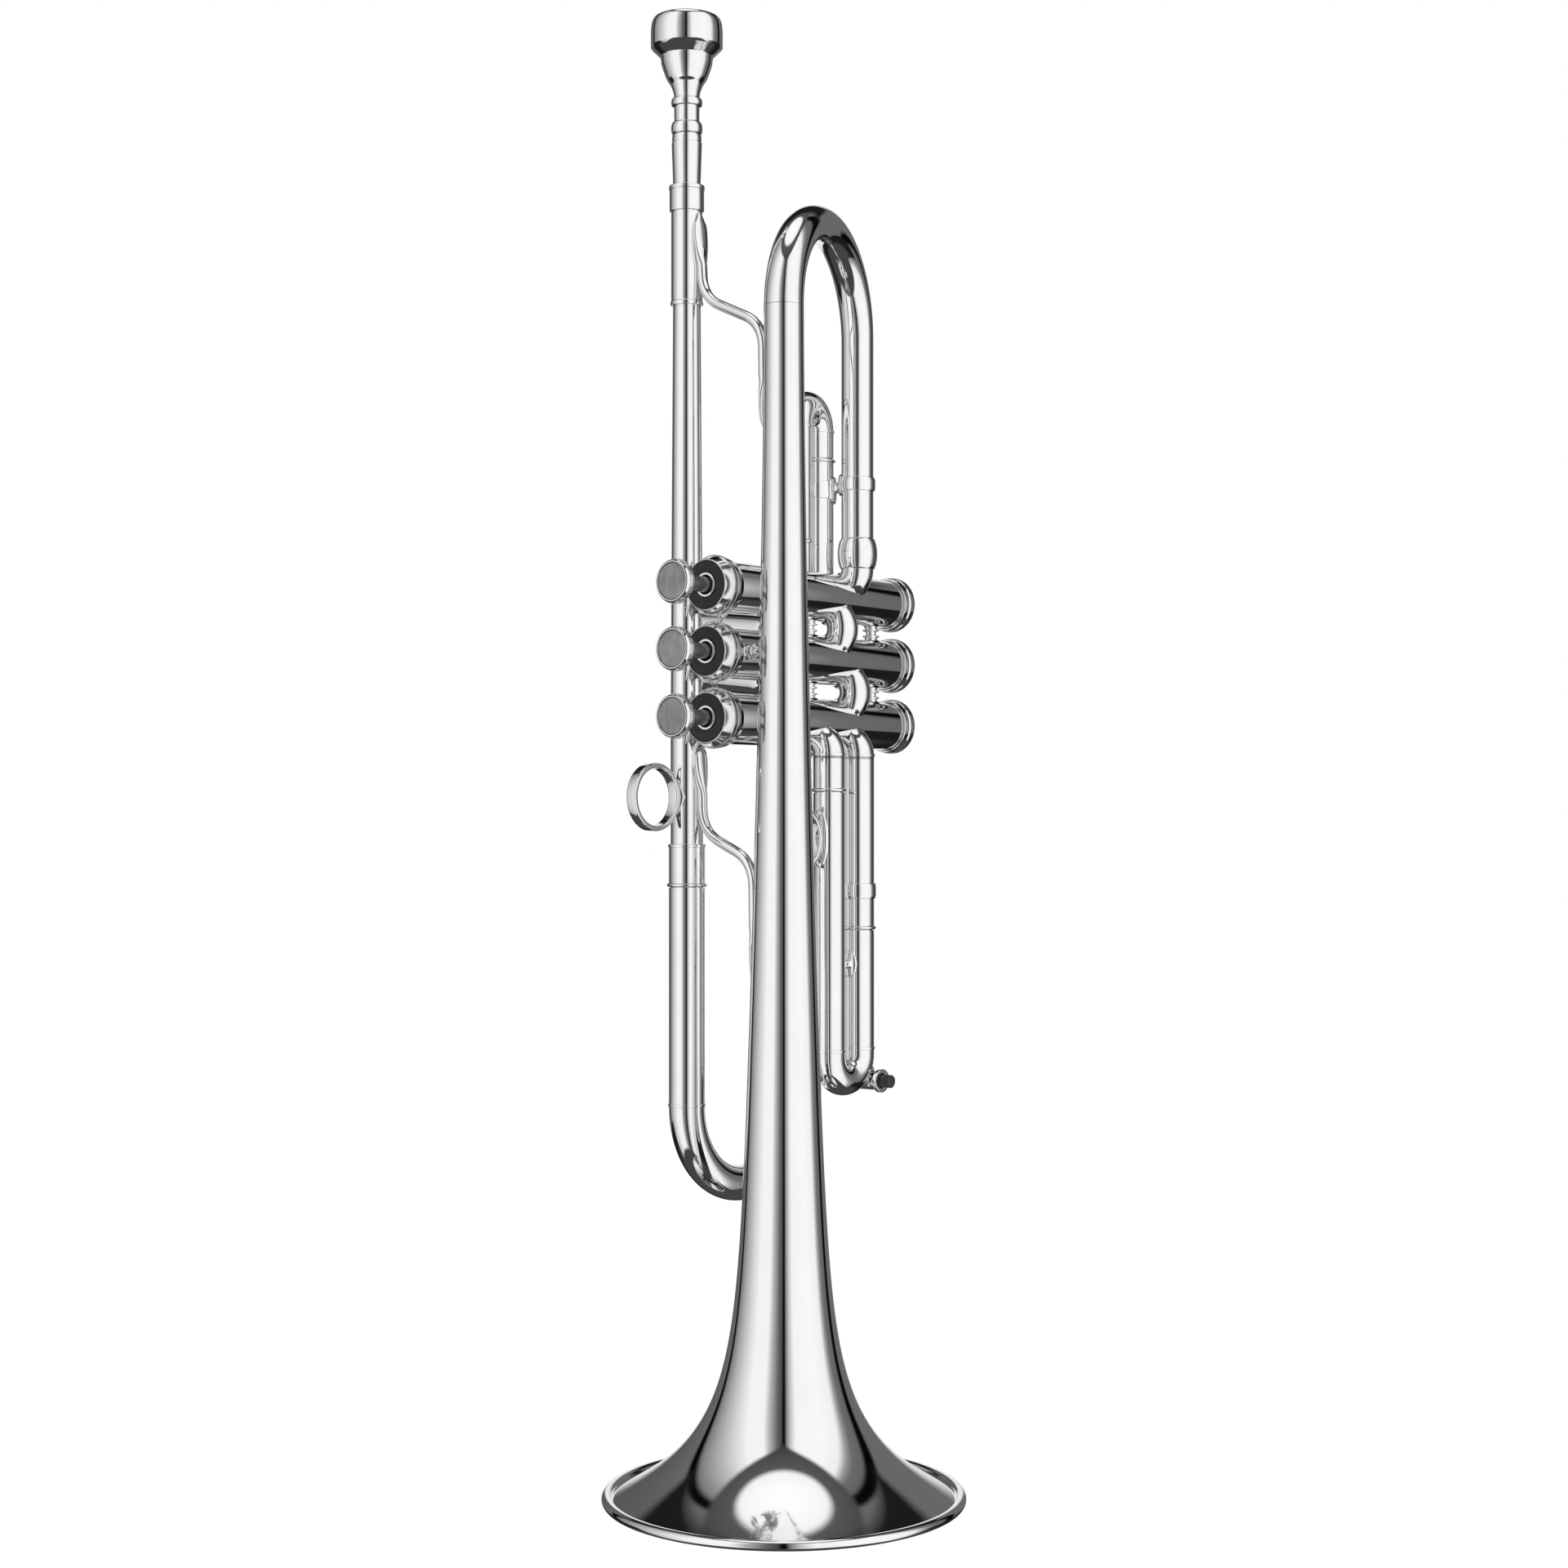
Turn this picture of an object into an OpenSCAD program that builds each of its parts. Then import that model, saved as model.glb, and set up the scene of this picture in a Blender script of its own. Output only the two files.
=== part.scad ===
// Silver-plated B-flat trumpet, standing on its bell.
// Origin: bell axis at the plane of the rim. +Z runs up the bell to the mouthpiece,
// -Y is the finger-button side, -X is the leadpipe side.

/* [Bell] */
// Outer diameter of the bell mouth
bell_mouth_d = 130; // [120:1:140]
// Diameter of the rolled rim bead
rim_bead_d = 3.8; // [3:0.1:4.6]
// Thickness of the bell sheet
bell_wall = 0.5; // [0.4:0.05:0.8]
// Height at which the bell bow starts
bow_start_z = 426; // [410:1:520]
// Outer diameter of the bell where the bow starts
bell_tail_d = 14.4; // [13:0.1:16]
// Distance from the bell axis to the return branch, towards the leadpipe
branch_x = 20.5; // [18:0.5:23]
// Distance from the bell axis to the return branch, along the valves
branch_y = 70.1; // [64:0.1:76]

/* [Valves] */
// Distance from the bell axis to the plane of the valve axes
valve_x = 28.3; // [27:0.1:34]
// Height of the first valve's axis
valve_top_z = 327.5; // [315:0.5:380]
// Distance between neighbouring valve axes
valve_pitch = 24; // [23.2:0.1:27]
// Outer diameter of a valve casing
casing_d = 18.8; // [18.4:0.1:19.6]
// Length of casing above the bell axis, towards the buttons
casing_up = 4; // [3:0.5:6]
// Length of casing below the bell axis
casing_down = 100; // [96:1:110]
// Diameter of a piston
piston_d = 16.7; // [16:0.1:17]
// Length of a piston's ported body
piston_len = 52; // [46:1:56]
// Depth of the piston's top below the bell axis at rest
piston_drop = 30; // [28:0.5:32]
// Travel of a piston when its button is pressed
stroke = 13; // [10:0.5:14]
// Diameter of a finger button
button_d = 16.2; // [14:0.1:17]
// Thickness of a finger button
button_t = 5; // [4:0.1:6]
// Diameter of a valve stem
stem_d = 5.6; // [4:0.1:6]
// Diameter of a top cap at its knurled band
cap_d = 22.4; // [21.4:0.1:23]

/* [Tubes] */
// Outer diameter of the valve slides' sleeves
sleeve_d = 12.3; // [11.6:0.1:12.8]
// Outer diameter of the main tuning slide's sleeves
main_sleeve_d = 13.3; // [12.6:0.1:14.2]
// Wall of every slide tube
tube_wall = 0.5; // [0.4:0.05:0.6]
// Distance between the legs of a valve slide
slide_pitch = 18; // [17:0.1:21]
// Distance from the bell axis to the third slide, towards the leadpipe
third_x = 19.4; // [18:0.1:22]
// Distance from the bell axis to the third slide's inner leg, along the valves
third_y = 51.1; // [48:0.1:54]
// Height of the lowest point of the third slide
third_bottom_z = 137.9; // [110:0.5:180]
// Distance from the bell axis to the leadpipe
leadpipe_x = 46; // [44:0.5:56]
// Distance between the legs of the main tuning slide
main_pitch = 63; // [56:0.5:72]
// Height of the lowest point of the main tuning slide
main_bottom_z = 99; // [70:1:130]
// Outer diameter of the leadpipe at its narrow end
leadpipe_small_d = 10.2; // [9.8:0.1:11]
// Outer diameter of the leadpipe at its wide end
leadpipe_large_d = 12; // [11.2:0.1:12.2]

/* [Mouthpiece] */
// Height of the top of the mouthpiece
mouthpiece_top_z = 538; // [500:1:650]
// Outer diameter of the mouthpiece rim
rim_d = 26.6; // [25:0.1:28.6]
// Diameter of the cup inside the rim
cup_d = 16.8; // [15.5:0.1:18]
// Depth of the cup
cup_depth = 11; // [9:0.5:13]
// Diameter of the throat
throat_d = 3.7; // [3.4:0.05:4.2]

/* [Rings and braces] */
// Outer diameter of the finger rings
ring_d = 24.8; // [22:0.2:28]
// Width of the finger rings
ring_w = 4.4; // [3.5:0.1:6]
// Thickness of the finger rings
ring_t = 2; // [1.6:0.1:2.4]
// Diameter of the bent brace rods
brace_d = 3.8; // [3:0.1:4.4]

/* [Fits] */
// Radial clearance of a piston in its casing
piston_gap = 0.04; // [0.02:0.01:0.08]
// Radial clearance of a sliding tube in its sleeve
slide_gap = 0.05; // [0.02:0.01:0.09]
// Radial gap filled by solder between fixed pieces
solder_gap = 0.04; // [0.02:0.01:0.08]
// Gap that a slide keeps from its stop when it is closed
stop_gap = 0.3; // [0.2:0.05:0.6]
// Radial clearance of the mouthpiece shank in its receiver
shank_gap = 0.05; // [0.02:0.01:0.09]

/* [Hidden] */
$fn = 64;
silver = [0.86, 0.87, 0.88];
eps = 0.01;

// Tubes
casing_r = casing_d / 2;
piston_r = piston_d / 2;
casing_bore_r = piston_r + piston_gap;
sleeve_r = sleeve_d / 2;
sleeve_bore_r = sleeve_r - tube_wall;
inner_r = sleeve_bore_r - slide_gap;
inner_bore_r = inner_r - tube_wall;
main_r = main_sleeve_d / 2;
main_bore_r = main_r - tube_wall;
main_inner_r = main_bore_r - slide_gap;
main_inner_bore_r = main_inner_r - tube_wall;
knuckle_bend = sleeve_r + 0.2;           // centre-line radius of the tight valve elbows
cross_bend = 7.6;                        // and of the crossovers between casings
cross_offset = 1.2;                      // crossover bend centre behind the valve plane
bead_r = 0.75;                           // round bead at the end of a sleeve
line_h = 1.2;                            // thin ring where a bow joins its legs

// Bell flare: tail, gentle taper and two decaying terms
bead_ring_r = (bell_mouth_d - rim_bead_d) / 2;
bead_z = rim_bead_d / 2 - 0.3;
flare_short = 17.8;
flare_long = 30.4;
flare_share = 0.705;
taper_add = 11.5;
taper_power = 1.56;
flare_add = (bead_ring_r - 1.2 - bell_tail_d / 2 - taper_add)
    / (flare_share * exp(-bead_z / flare_short) + (1 - flare_share) * exp(-bead_z / flare_long));
function bell_r(z) = bell_tail_d / 2 + taper_add * pow(max(0, 1 - z / bow_start_z), taper_power)
    + flare_add * (flare_share * exp(-z / flare_short) + (1 - flare_share) * exp(-z / flare_long));
bell_steps = 34;
function bell_z(i) = bead_z + (bow_start_z - bead_z) * pow(i / bell_steps, 2.2);

// Bell bow and return branch
bow_pitch = norm([branch_x, branch_y]);
bow_r = bow_pitch / 2;
bow_turn = atan2(branch_y, -branch_x);
bow_steps = 24;
bow_sides = 32;
branch_knuckle_z = valve_top_z + 11.1;
ferrule_len = 11.8;
ferrule_r = sleeve_r + 1.25;

// Valves
valve_zs = [for (i = [0:2]) valve_top_z - i * valve_pitch];
cap_r = cap_d / 2;
cap_face = casing_up + 6;                // height of the cap's face above the bell axis
cap_skirt = 3.5;                         // how far a top cap reaches down its casing
cap_clear_y = cap_skirt - casing_up + 0.6;
cap_plate = 1.5;
felt_t = 1.4;
bushing_r = 4.55;
bushing_bore_r = stem_d / 2 + 0.7;
bushing_up = 0.4;
button_face = cap_face + bushing_up + stroke + button_t + 0.4;
pearl_r = 6.45;
pearl_t = 1.5;
barrel_r = piston_r - 0.8;
barrel_wall = 0.6;
barrel_top = -3;
guide_t = 2.5;
guide_top = 3 - piston_drop;
guide_ear_w = 3;
spring_wire = 0.7;
spring_r = barrel_r - barrel_wall - 1.35;  // clear of the barrel
spring_turns = 7;
bottom_cap_r = casing_r + 1.3;
bottom_cap_face = casing_down + 5;
port_hs = [-44, -57, -70];
port_r = inner_bore_r;
passage_wall = 0.4;

// Ports in the casings: [valve, angle from the near side, distance below the bell axis]
crossover_ys = [62.6, 70.4];
near_angle = 48;
cross_angle = 57;

// First slide
first_p = [-31, 46];
first_turn = 100.3;                      // direction from the inner to the outer leg
first_pitch = slide_pitch - 1.2;
first_q = first_p + first_pitch * [cos(first_turn), sin(first_turn)];
first_p_bead_z = valve_top_z + 21;
first_q_bead_z = valve_top_z + 53.6;
first_line_z = valve_top_z + 64.1;
first_inner_len = 38;                     // of the moving inner tube below its sleeve's bead

// Second slide
second_y = 34;
second_tilt = 6;
second_out = 24;                         // reach of its sleeves from the valve axis
second_bow_x = 36;

// Third slide
third_b_y = third_y + slide_pitch;
third_mid_y = third_y + slide_pitch / 2;
third_knuckle_z = valve_zs[2] - 12.2;
third_line_z = third_bottom_z + sleeve_r + slide_pitch / 2 + 2.4;
third_a_bead_z = third_knuckle_z - 14.2;
third_b_bead_z = third_knuckle_z - 66.6;
third_ring_z = third_a_bead_z - 17.6;
third_fixed_len = 66;                     // of the fixed inner tube below its bead
third_moving_len = 55;                    // of the moving inner tube above the other bead

// Main tuning slide
main_knuckle_bend = leadpipe_x - valve_x;
main_line_z = main_bottom_z + main_r + main_pitch / 2;
ferrule_top_z = valve_zs[2] - 45.8;
main_bead_z = ferrule_top_z - 15.8;
main_moving_len = 70;                     // of the moving inner tube above the bow's line

// Mouthpiece and leadpipe, from the top down
receiver_top_z = mouthpiece_top_z - 62.1;
receiver_len = 9.6;
sleeve_end_z = receiver_top_z - 44.2;
shank_end_z = receiver_top_z - 23.9;
shank_taper = 0.0346;
shank_top_r = leadpipe_small_d / 2 - 0.02;
function shank_r(z) = shank_top_r + (z - receiver_top_z) * shank_taper;
leadpipe_top_z = shank_end_z - 0.5;
leadpipe_small_r = leadpipe_small_d / 2;
leadpipe_large_r = leadpipe_large_d / 2;
leadpipe_wide_len = 38;                   // of its straight wide end

// Posts and braces: the heights of a brace's top, shoulder, knee and foot from the joint beside it
bell_post_r = 3;
casing_post_r = 3.5;
casing_post_ys = [50, 89];
brace_r = brace_d / 2;
brace_joint_r = 1.25 * brace_r;
upper_brace_zs = [31.7, 2.3, -10.7, -48.7];
lower_brace_zs = [36.5, 4.7, -6.2, -49.7];

// Rings and water keys
ring_r = ring_d / 2;
pinky_z = ferrule_top_z + 17.2;
key_body_r = 3.7;
key_len = 12;
plunger_r = 2.5;
plunger_travel = 2;
third_key_angle = -35;
main_key_angle = -47;

// General shapes
module pipe(r_out, r_in, z0, z1) {
    translate([0, 0, z0]) difference() {
        cylinder(r = r_out, h = z1 - z0);
        translate([0, 0, -eps]) cylinder(r = r_in, h = z1 - z0 + 2 * eps);
    }
}

module sleeve(r_out, r_in, z0, z1, bead_zs) {
    difference() {
        union() {
            translate([0, 0, z0]) cylinder(r = r_out, h = z1 - z0);
            for (z = bead_zs)
                translate([0, 0, z]) rotate_extrude() translate([r_out, 0]) circle(r = bead_r, $fn = 24);
        }
        translate([0, 0, z0 - 2]) cylinder(r = r_in, h = z1 - z0 + 4);
    }
}

module bent_pipe(bend, r_out, r_in, angle) {
    rotate_extrude(angle = angle) translate([bend, 0]) difference() {
        circle(r = r_out);
        circle(r = r_in);
    }
}

module torus(r, wire) {
    rotate_extrude() translate([r, 0]) circle(r = wire, $fn = 32);
}

module rod(a, b, r) {
    d = b - a;
    translate(a) rotate([0, acos(d[2] / norm(d)), atan2(d[1], d[0])]) cylinder(r = r, h = norm(d));
}

// A valve's own frame: +Z runs up the valve, towards its button
module on_valve(i) {
    translate([-valve_x, 0, valve_zs[i]]) rotate([90, 0, 0]) children();
}

module casing_bars(gap) {
    for (i = [0:2])
        on_valve(i) translate([0, 0, -bottom_cap_face]) cylinder(r = casing_r + gap, h = casing_up + bottom_cap_face);
}

// A post turned with two beads, as long as the gap that it bridges
module turned_post(len, r) {
    waist = 0.55 * r;
    rotate_extrude() polygon([
        [0, 0], [r, 0], [r, 0.12 * len], [waist, 0.3 * len], [waist, 0.36 * len], [r * 0.85, 0.42 * len],
        [r * 0.85, 0.58 * len], [waist, 0.64 * len], [waist, 0.7 * len], [r, 0.88 * len], [r, len], [0, len]
    ]);
}

// Bell
module bell() {
    color(silver) rotate_extrude($fn = 128) difference() {
        union() {
            polygon(concat(
                [for (i = [0:bell_steps]) [bell_r(bell_z(i)), bell_z(i)]],
                [for (i = [bell_steps:-1:0]) [bell_r(bell_z(i)) - bell_wall, bell_z(i)]]
            ));
            translate([bead_ring_r, bead_z]) circle(d = rim_bead_d, $fn = 48);
        }
        translate([bead_ring_r, bead_z]) circle(d = rim_bead_d - 2 * bell_wall, $fn = 48);
        translate([bead_ring_r - rim_bead_d, -rim_bead_d]) square([2 * rim_bead_d, rim_bead_d]);
    }
}

module rim_wire() {
    color(silver) translate([0, 0, bead_z])
        torus(bead_ring_r, rim_bead_d / 2 - bell_wall - solder_gap);
}

// The bow is one tapered shell, swept from the bell's tail round to the branch
function bow_ring(k, r) =
    let (
        turned = min(k, bow_steps),
        a = 180 * turned / bow_steps,
        drop = k > bow_steps ? bow_start_z - branch_knuckle_z - ferrule_len : 0,
        out = [cos(bow_turn), sin(bow_turn), 0],
        middle = bow_r * out + [0, 0, bow_start_z - drop]
    )
    [for (c = [0:bow_sides - 1])
        let (b = 360 * c / bow_sides, side = r * sin(b), reach = bow_r + r * cos(b))
        middle + reach * (sin(a) * [0, 0, 1] - cos(a) * out) + side * [-sin(bow_turn), cos(bow_turn), 0]];

function bow_outer_r(k) = bell_tail_d / 2 + (sleeve_r - bell_tail_d / 2) * min(1, k / bow_steps);

module bell_bow() {
    n = bow_sides;
    last = bow_steps + 1;
    inside = n * (last + 1);
    outer = [for (k = [0:last]) each bow_ring(k, bow_outer_r(k))];
    inner = [for (k = [0:last]) each bow_ring(k, bow_outer_r(k) - tube_wall)];
    walls = [for (k = [0:last - 1], c = [0:n - 1])
        let (a = n * k + c, b = n * k + (c + 1) % n)
        each [[a, b, b + n, a + n], [inside + a, inside + a + n, inside + b + n, inside + b]]];
    rims = [for (c = [0:n - 1])
        let (d = (c + 1) % n, e = n * last)
        each [[d, c, inside + c, inside + d], [e + c, e + d, inside + e + d, inside + e + c]]];
    color(silver) polyhedron(concat(outer, inner), concat(walls, rims));
}

module bell_ferrule() {
    top = ferrule_len;
    color(silver) translate([-branch_x, branch_y, branch_knuckle_z]) rotate_extrude() difference() {
        intersection() {
            translate([ferrule_r - 30, top / 2]) circle(r = 30, $fn = 256);
            square([ferrule_r + 1, top]);
        }
        translate([0, -1]) square([sleeve_r - tube_wall, top + 2]);
    }
}

module bell_knuckle() {
    color(silver) difference() {
        translate([-branch_x, branch_y, branch_knuckle_z]) near_elbow(1);
        casing_bars(solder_gap);
    }
}

// A tight elbow that starts at the origin and turns into a valve's near side
module near_elbow(up) {
    translate([-knuckle_bend, 0, 0]) rotate([up > 0 ? -90 : 90, 0, 0])
        bent_pipe(knuckle_bend, sleeve_r, sleeve_bore_r, 90);
}

// Valve casings
module port(angle, y) {
    translate([0, 0, -y]) rotate([0, 90, angle]) cylinder(r = port_r, h = casing_r + 1);
}

module casing(i, ports) {
    color(silver) on_valve(i) difference() {
        translate([0, 0, -casing_down]) cylinder(r = casing_r, h = casing_down + casing_up);
        translate([0, 0, -casing_down - 1]) cylinder(r = casing_bore_r, h = casing_down + casing_up + 2);
        for (p = ports)
            port(p[0], p[1]);
    }
}

module valve_casing_1() {
    casing(0, [[near_angle, branch_y], [-cross_angle, crossover_ys[0]], [90, first_p[1]], [110, first_q[1]]]);
}

module valve_casing_2() {
    casing(1, [[cross_angle, crossover_ys[0]], [-cross_angle, crossover_ys[1]], [150, second_y], [210, second_y]]);
}

module valve_casing_3() {
    casing(2, [[cross_angle, crossover_ys[1]], [-near_angle, third_y], [-near_angle, third_b_y], [180, main_pitch]]);
}

module valve_crossovers() {
    color(silver) difference() {
        for (i = [0:1])
            translate([-valve_x - cross_offset, crossover_ys[i], valve_zs[i] - valve_pitch / 2])
                rotate([90, 0, 0]) rotate([0, 0, -85]) bent_pipe(cross_bend, sleeve_r - 0.2, port_r, 170);
        casing_bars(solder_gap);
    }
}

// Caps
module top_cap(i) {
    skirt_z = casing_up - cap_skirt;
    rim_r = cap_r - 2.0;
    color(silver) on_valve(i) {
        difference() {
            rotate_extrude() polygon([
                [0, skirt_z], [cap_r - 0.9, skirt_z], [cap_r - 0.6, skirt_z + 2], [cap_r, skirt_z + 2.4],
                [cap_r, skirt_z + 5.6], [cap_r - 0.7, skirt_z + 6], [rim_r, cap_face], [0, cap_face]
            ]);
            translate([0, 0, skirt_z - 1]) cylinder(r = casing_r + solder_gap, h = casing_up - skirt_z + 1);
            cylinder(r = casing_r - 0.6, h = cap_face - felt_t - cap_plate);
            translate([0, 0, -1]) cylinder(r = bushing_bore_r, h = cap_face + 2);
            translate([0, 0, cap_face - felt_t]) pipe(rim_r - 0.3, bushing_r, 0, felt_t + 1);
        }
        pipe(bushing_r, bushing_bore_r, cap_face - eps, cap_face + bushing_up);
    }
}
module top_cap_1() { top_cap(0); }
module top_cap_2() { top_cap(1); }
module top_cap_3() { top_cap(2); }

module bottom_cap(i) {
    lip_z = -bottom_cap_face + 7;
    color(silver) on_valve(i) difference() {
        rotate_extrude() polygon([
            [0, -bottom_cap_face], [bottom_cap_r - 1.4, -bottom_cap_face], [bottom_cap_r - 0.4, -bottom_cap_face + 1],
            [bottom_cap_r, -bottom_cap_face + 1.4], [bottom_cap_r, lip_z - 3], [bottom_cap_r - 0.5, lip_z - 2.6],
            [bottom_cap_r - 0.5, lip_z], [0, lip_z]
        ]);
        translate([0, 0, -casing_down]) cylinder(r = casing_r + solder_gap, h = casing_down);
        translate([0, 0, -bottom_cap_face + 1.6]) cylinder(r = casing_bore_r - 0.6, h = casing_down);
        translate([0, 0, -bottom_cap_face - 1]) cylinder(r = 2, h = 4);
    }
}
module bottom_cap_1() { bottom_cap(0); }
module bottom_cap_2() { bottom_cap(1); }
module bottom_cap_3() { bottom_cap(2); }

module cap_felts() {
    color([0.06, 0.06, 0.06]) for (i = [0:2])
        on_valve(i) pipe(cap_r - 2.3 - solder_gap, bushing_r + solder_gap, cap_face - felt_t, cap_face - 0.2);
}

// The guide holds the spring's foot; its ears pass the barrel's slots and rest in the casing
module valve_guides() {
    color([0.93, 0.93, 0.9]) for (i = [0:2])
        on_valve(i) translate([0, 0, guide_top - guide_t]) {
            pipe(barrel_r - barrel_wall - 0.4, stem_d / 2 + 0.4, 0, guide_t);
            intersection() {
                translate([-casing_r, -guide_ear_w / 2, 0]) cube([casing_d, guide_ear_w, guide_t]);
                pipe(casing_bore_r - 0.02, barrel_r - barrel_wall - 0.5, 0, guide_t);
            }
        }
}

// Pistons
module piston_ports(r) {
    for (k = [0:2])
        translate([0, 0, port_hs[k]]) rotate([90, 0, 60 * k + 15])
            translate([0, 0, -piston_r - 1]) cylinder(r = r, h = 2 * piston_r + 2);
}

module piston(i) {
    body_h = piston_len;
    top = -piston_drop;
    slot_h = guide_top - top + stroke + 0.6;
    color([0.8, 0.8, 0.78]) on_valve(i) difference() {
        union() {
            pipe(piston_r, piston_r - 0.8, top - body_h, top - 2 + eps);
            translate([0, 0, top - 2]) cylinder(r = piston_r, h = 2);
            pipe(barrel_r, barrel_r - barrel_wall, top - eps, barrel_top);
            translate([0, 0, barrel_top - 1.4]) cylinder(r = barrel_r, h = 1.4);
            intersection() {
                piston_ports(port_r + passage_wall);
                translate([0, 0, top - body_h]) cylinder(r = piston_r - passage_wall, h = body_h);
            }
        }
        piston_ports(port_r);
        translate([-casing_r, -guide_ear_w / 2 - 0.4, top]) cube([casing_d, guide_ear_w + 0.8, slot_h]);
    }
}
module piston_1() { piston(0); }
module piston_2() { piston(1); }
module piston_3() { piston(2); }

module valve_stem(i) {
    color([0.35, 0.35, 0.36]) on_valve(i)
        translate([0, 0, barrel_top]) cylinder(r = stem_d / 2, h = button_face - button_t - barrel_top);
}
module valve_stem_1() { valve_stem(0); }
module valve_stem_2() { valve_stem(1); }
module valve_stem_3() { valve_stem(2); }

module finger_button(i) {
    r = button_d / 2;
    z0 = button_face - button_t;
    color(silver) on_valve(i) difference() {
        rotate_extrude() polygon([
            [0, z0], [r - 2.6, z0], [r - 0.6, z0 + 1.2], [r, z0 + 1.8], [r, button_face - 0.9],
            [r - 0.5, button_face - 0.2], [r - 1, button_face], [0, button_face]
        ]);
        translate([0, 0, button_face - pearl_t]) cylinder(r = pearl_r + 0.15, h = pearl_t + 1);
    }
}
module finger_button_1() { finger_button(0); }
module finger_button_2() { finger_button(1); }
module finger_button_3() { finger_button(2); }

module button_pearl(i) {
    color([0.55, 0.56, 0.57]) on_valve(i)
        translate([0, 0, button_face - pearl_t]) cylinder(r = pearl_r, h = pearl_t - 0.15);
}
module button_pearl_1() { button_pearl(0); }
module button_pearl_2() { button_pearl(1); }
module button_pearl_3() { button_pearl(2); }

// A coil between the guide and the barrel's closed top
function coil_point(a, k, rise) =
    let (b = 360 * k / 6, r = spring_r + spring_wire / 2 * cos(b))
    [r * cos(a), r * sin(a), rise * a / 360 + spring_wire / 2 * sin(b)];

module valve_spring(i) {
    steps = 14 * spring_turns;
    z0 = guide_top + spring_wire / 2 + 0.05;
    rise = (barrel_top - 1.4 - spring_wire - 0.1 - guide_top) / spring_turns;
    points = [for (s = [0:steps], k = [0:5]) coil_point(360 * s / 14, k, rise)];
    sides = [for (s = [0:steps - 1], k = [0:5])
        let (a = 6 * s + k, b = 6 * s + (k + 1) % 6) [a, a + 6, b + 6, b]];
    ends = [[for (k = [0:5]) k], [for (k = [5:-1:0]) 6 * steps + k]];
    color([0.7, 0.7, 0.68]) on_valve(i) translate([0, 0, z0]) polyhedron(points, concat(sides, ends));
}
module valve_spring_1() { valve_spring(0); }
module valve_spring_2() { valve_spring(1); }
module valve_spring_3() { valve_spring(2); }

// First slide: the inner leg slides outside its tube, the outer leg inside its sleeve
module at_first(leg) {
    translate([first_p[0], first_p[1], 0]) rotate([0, 0, first_turn]) translate([leg * first_pitch, 0, 0]) children();
}

module first_slide_sleeves() {
    color(silver) difference() {
        union() {
            at_first(0) sleeve(sleeve_r, inner_bore_r, valve_top_z, first_p_bead_z, [first_p_bead_z - bead_r]);
            at_first(0) pipe(inner_r, inner_bore_r, valve_top_z, first_line_z - 6);
            at_first(1) sleeve(sleeve_r, sleeve_bore_r, valve_top_z, first_q_bead_z, [first_q_bead_z - bead_r]);
        }
        casing_bars(solder_gap);
    }
}

module first_slide() {
    color(silver) translate([first_p[0], first_p[1], 0]) rotate([0, 0, first_turn]) {
        sleeve(sleeve_r, sleeve_bore_r, first_p_bead_z + stop_gap, first_line_z, []);
        line_ring(first_line_z);
        translate([first_pitch, 0, 0]) {
            pipe(inner_r, inner_bore_r, first_q_bead_z - first_inner_len, first_line_z);
            pipe(sleeve_r, inner_r - eps, first_q_bead_z + stop_gap, first_line_z);
            line_ring(first_line_z);
        }
        translate([first_pitch / 2, 0, first_line_z]) rotate([90, 0, 0])
            bent_pipe(first_pitch / 2, sleeve_r, inner_bore_r, 180);
    }
}

module line_ring(z) {
    pipe(sleeve_r + 0.35, sleeve_r - eps, z - line_h / 2, z + line_h / 2);
}

// A U-shaped saddle for the thumb, on the inner leg's sliding tube
module thumb_saddle() {
    z0 = first_p_bead_z + 12;
    width = 15;
    foot_y = first_p[1] - sleeve_r;
    color(silver) translate([first_p[0], foot_y, z0]) {
        difference() {
            translate([-5, -1.4, -width / 2 - 1.4]) cube([10, 2.6, width + 2.8]);
            translate([0, sleeve_r, -width]) cylinder(r = sleeve_r + solder_gap, h = 2 * width);
        }
        for (s = [-1, 1])
            translate([-3, -11, s * (width / 2 + 0.6) - 0.8]) cube([6, 10, 1.6]);
    }
}

// Second slide, on the far side of the middle valve
module on_second() {
    translate([-valve_x, second_y, valve_zs[1]]) rotate([0, second_tilt, 0]) children();
}

module second_leg(s) {
    translate([-knuckle_bend - 4, 0, s * slide_pitch / 2]) rotate([0, -90, 0]) children();
}

module second_slide_sleeves() {
    color(silver) difference() {
        on_second() for (s = [-1, 1]) {
            second_leg(s) sleeve(sleeve_r, sleeve_bore_r, 0, second_out - knuckle_bend, [second_out - knuckle_bend - bead_r]);
            translate([-knuckle_bend - 4, 0, s * (slide_pitch / 2 - knuckle_bend)])
                rotate([-90, 0, 0]) rotate([0, 0, s > 0 ? -90 : 0])
                    bent_pipe(knuckle_bend, sleeve_r, sleeve_bore_r, 90);
        }
        casing_bars(solder_gap);
    }
}

module second_slide() {
    start = second_out - knuckle_bend + stop_gap;
    color(silver) on_second() {
        for (s = [-1, 1])
            second_leg(s) {
                pipe(inner_r, inner_bore_r, 1, second_bow_x - knuckle_bend - 4);
                pipe(sleeve_r, inner_r - eps, start, second_bow_x - knuckle_bend - 4);
                line_ring(start + line_h);
            }
        translate([-second_bow_x, 0, 0]) rotate([90, 0, 0]) rotate([0, 0, 90])
            bent_pipe(slide_pitch / 2, sleeve_r, inner_bore_r, 180);
    }
}

// Third slide
module at_third(y) {
    translate([-third_x, y, 0]) children();
}

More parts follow.
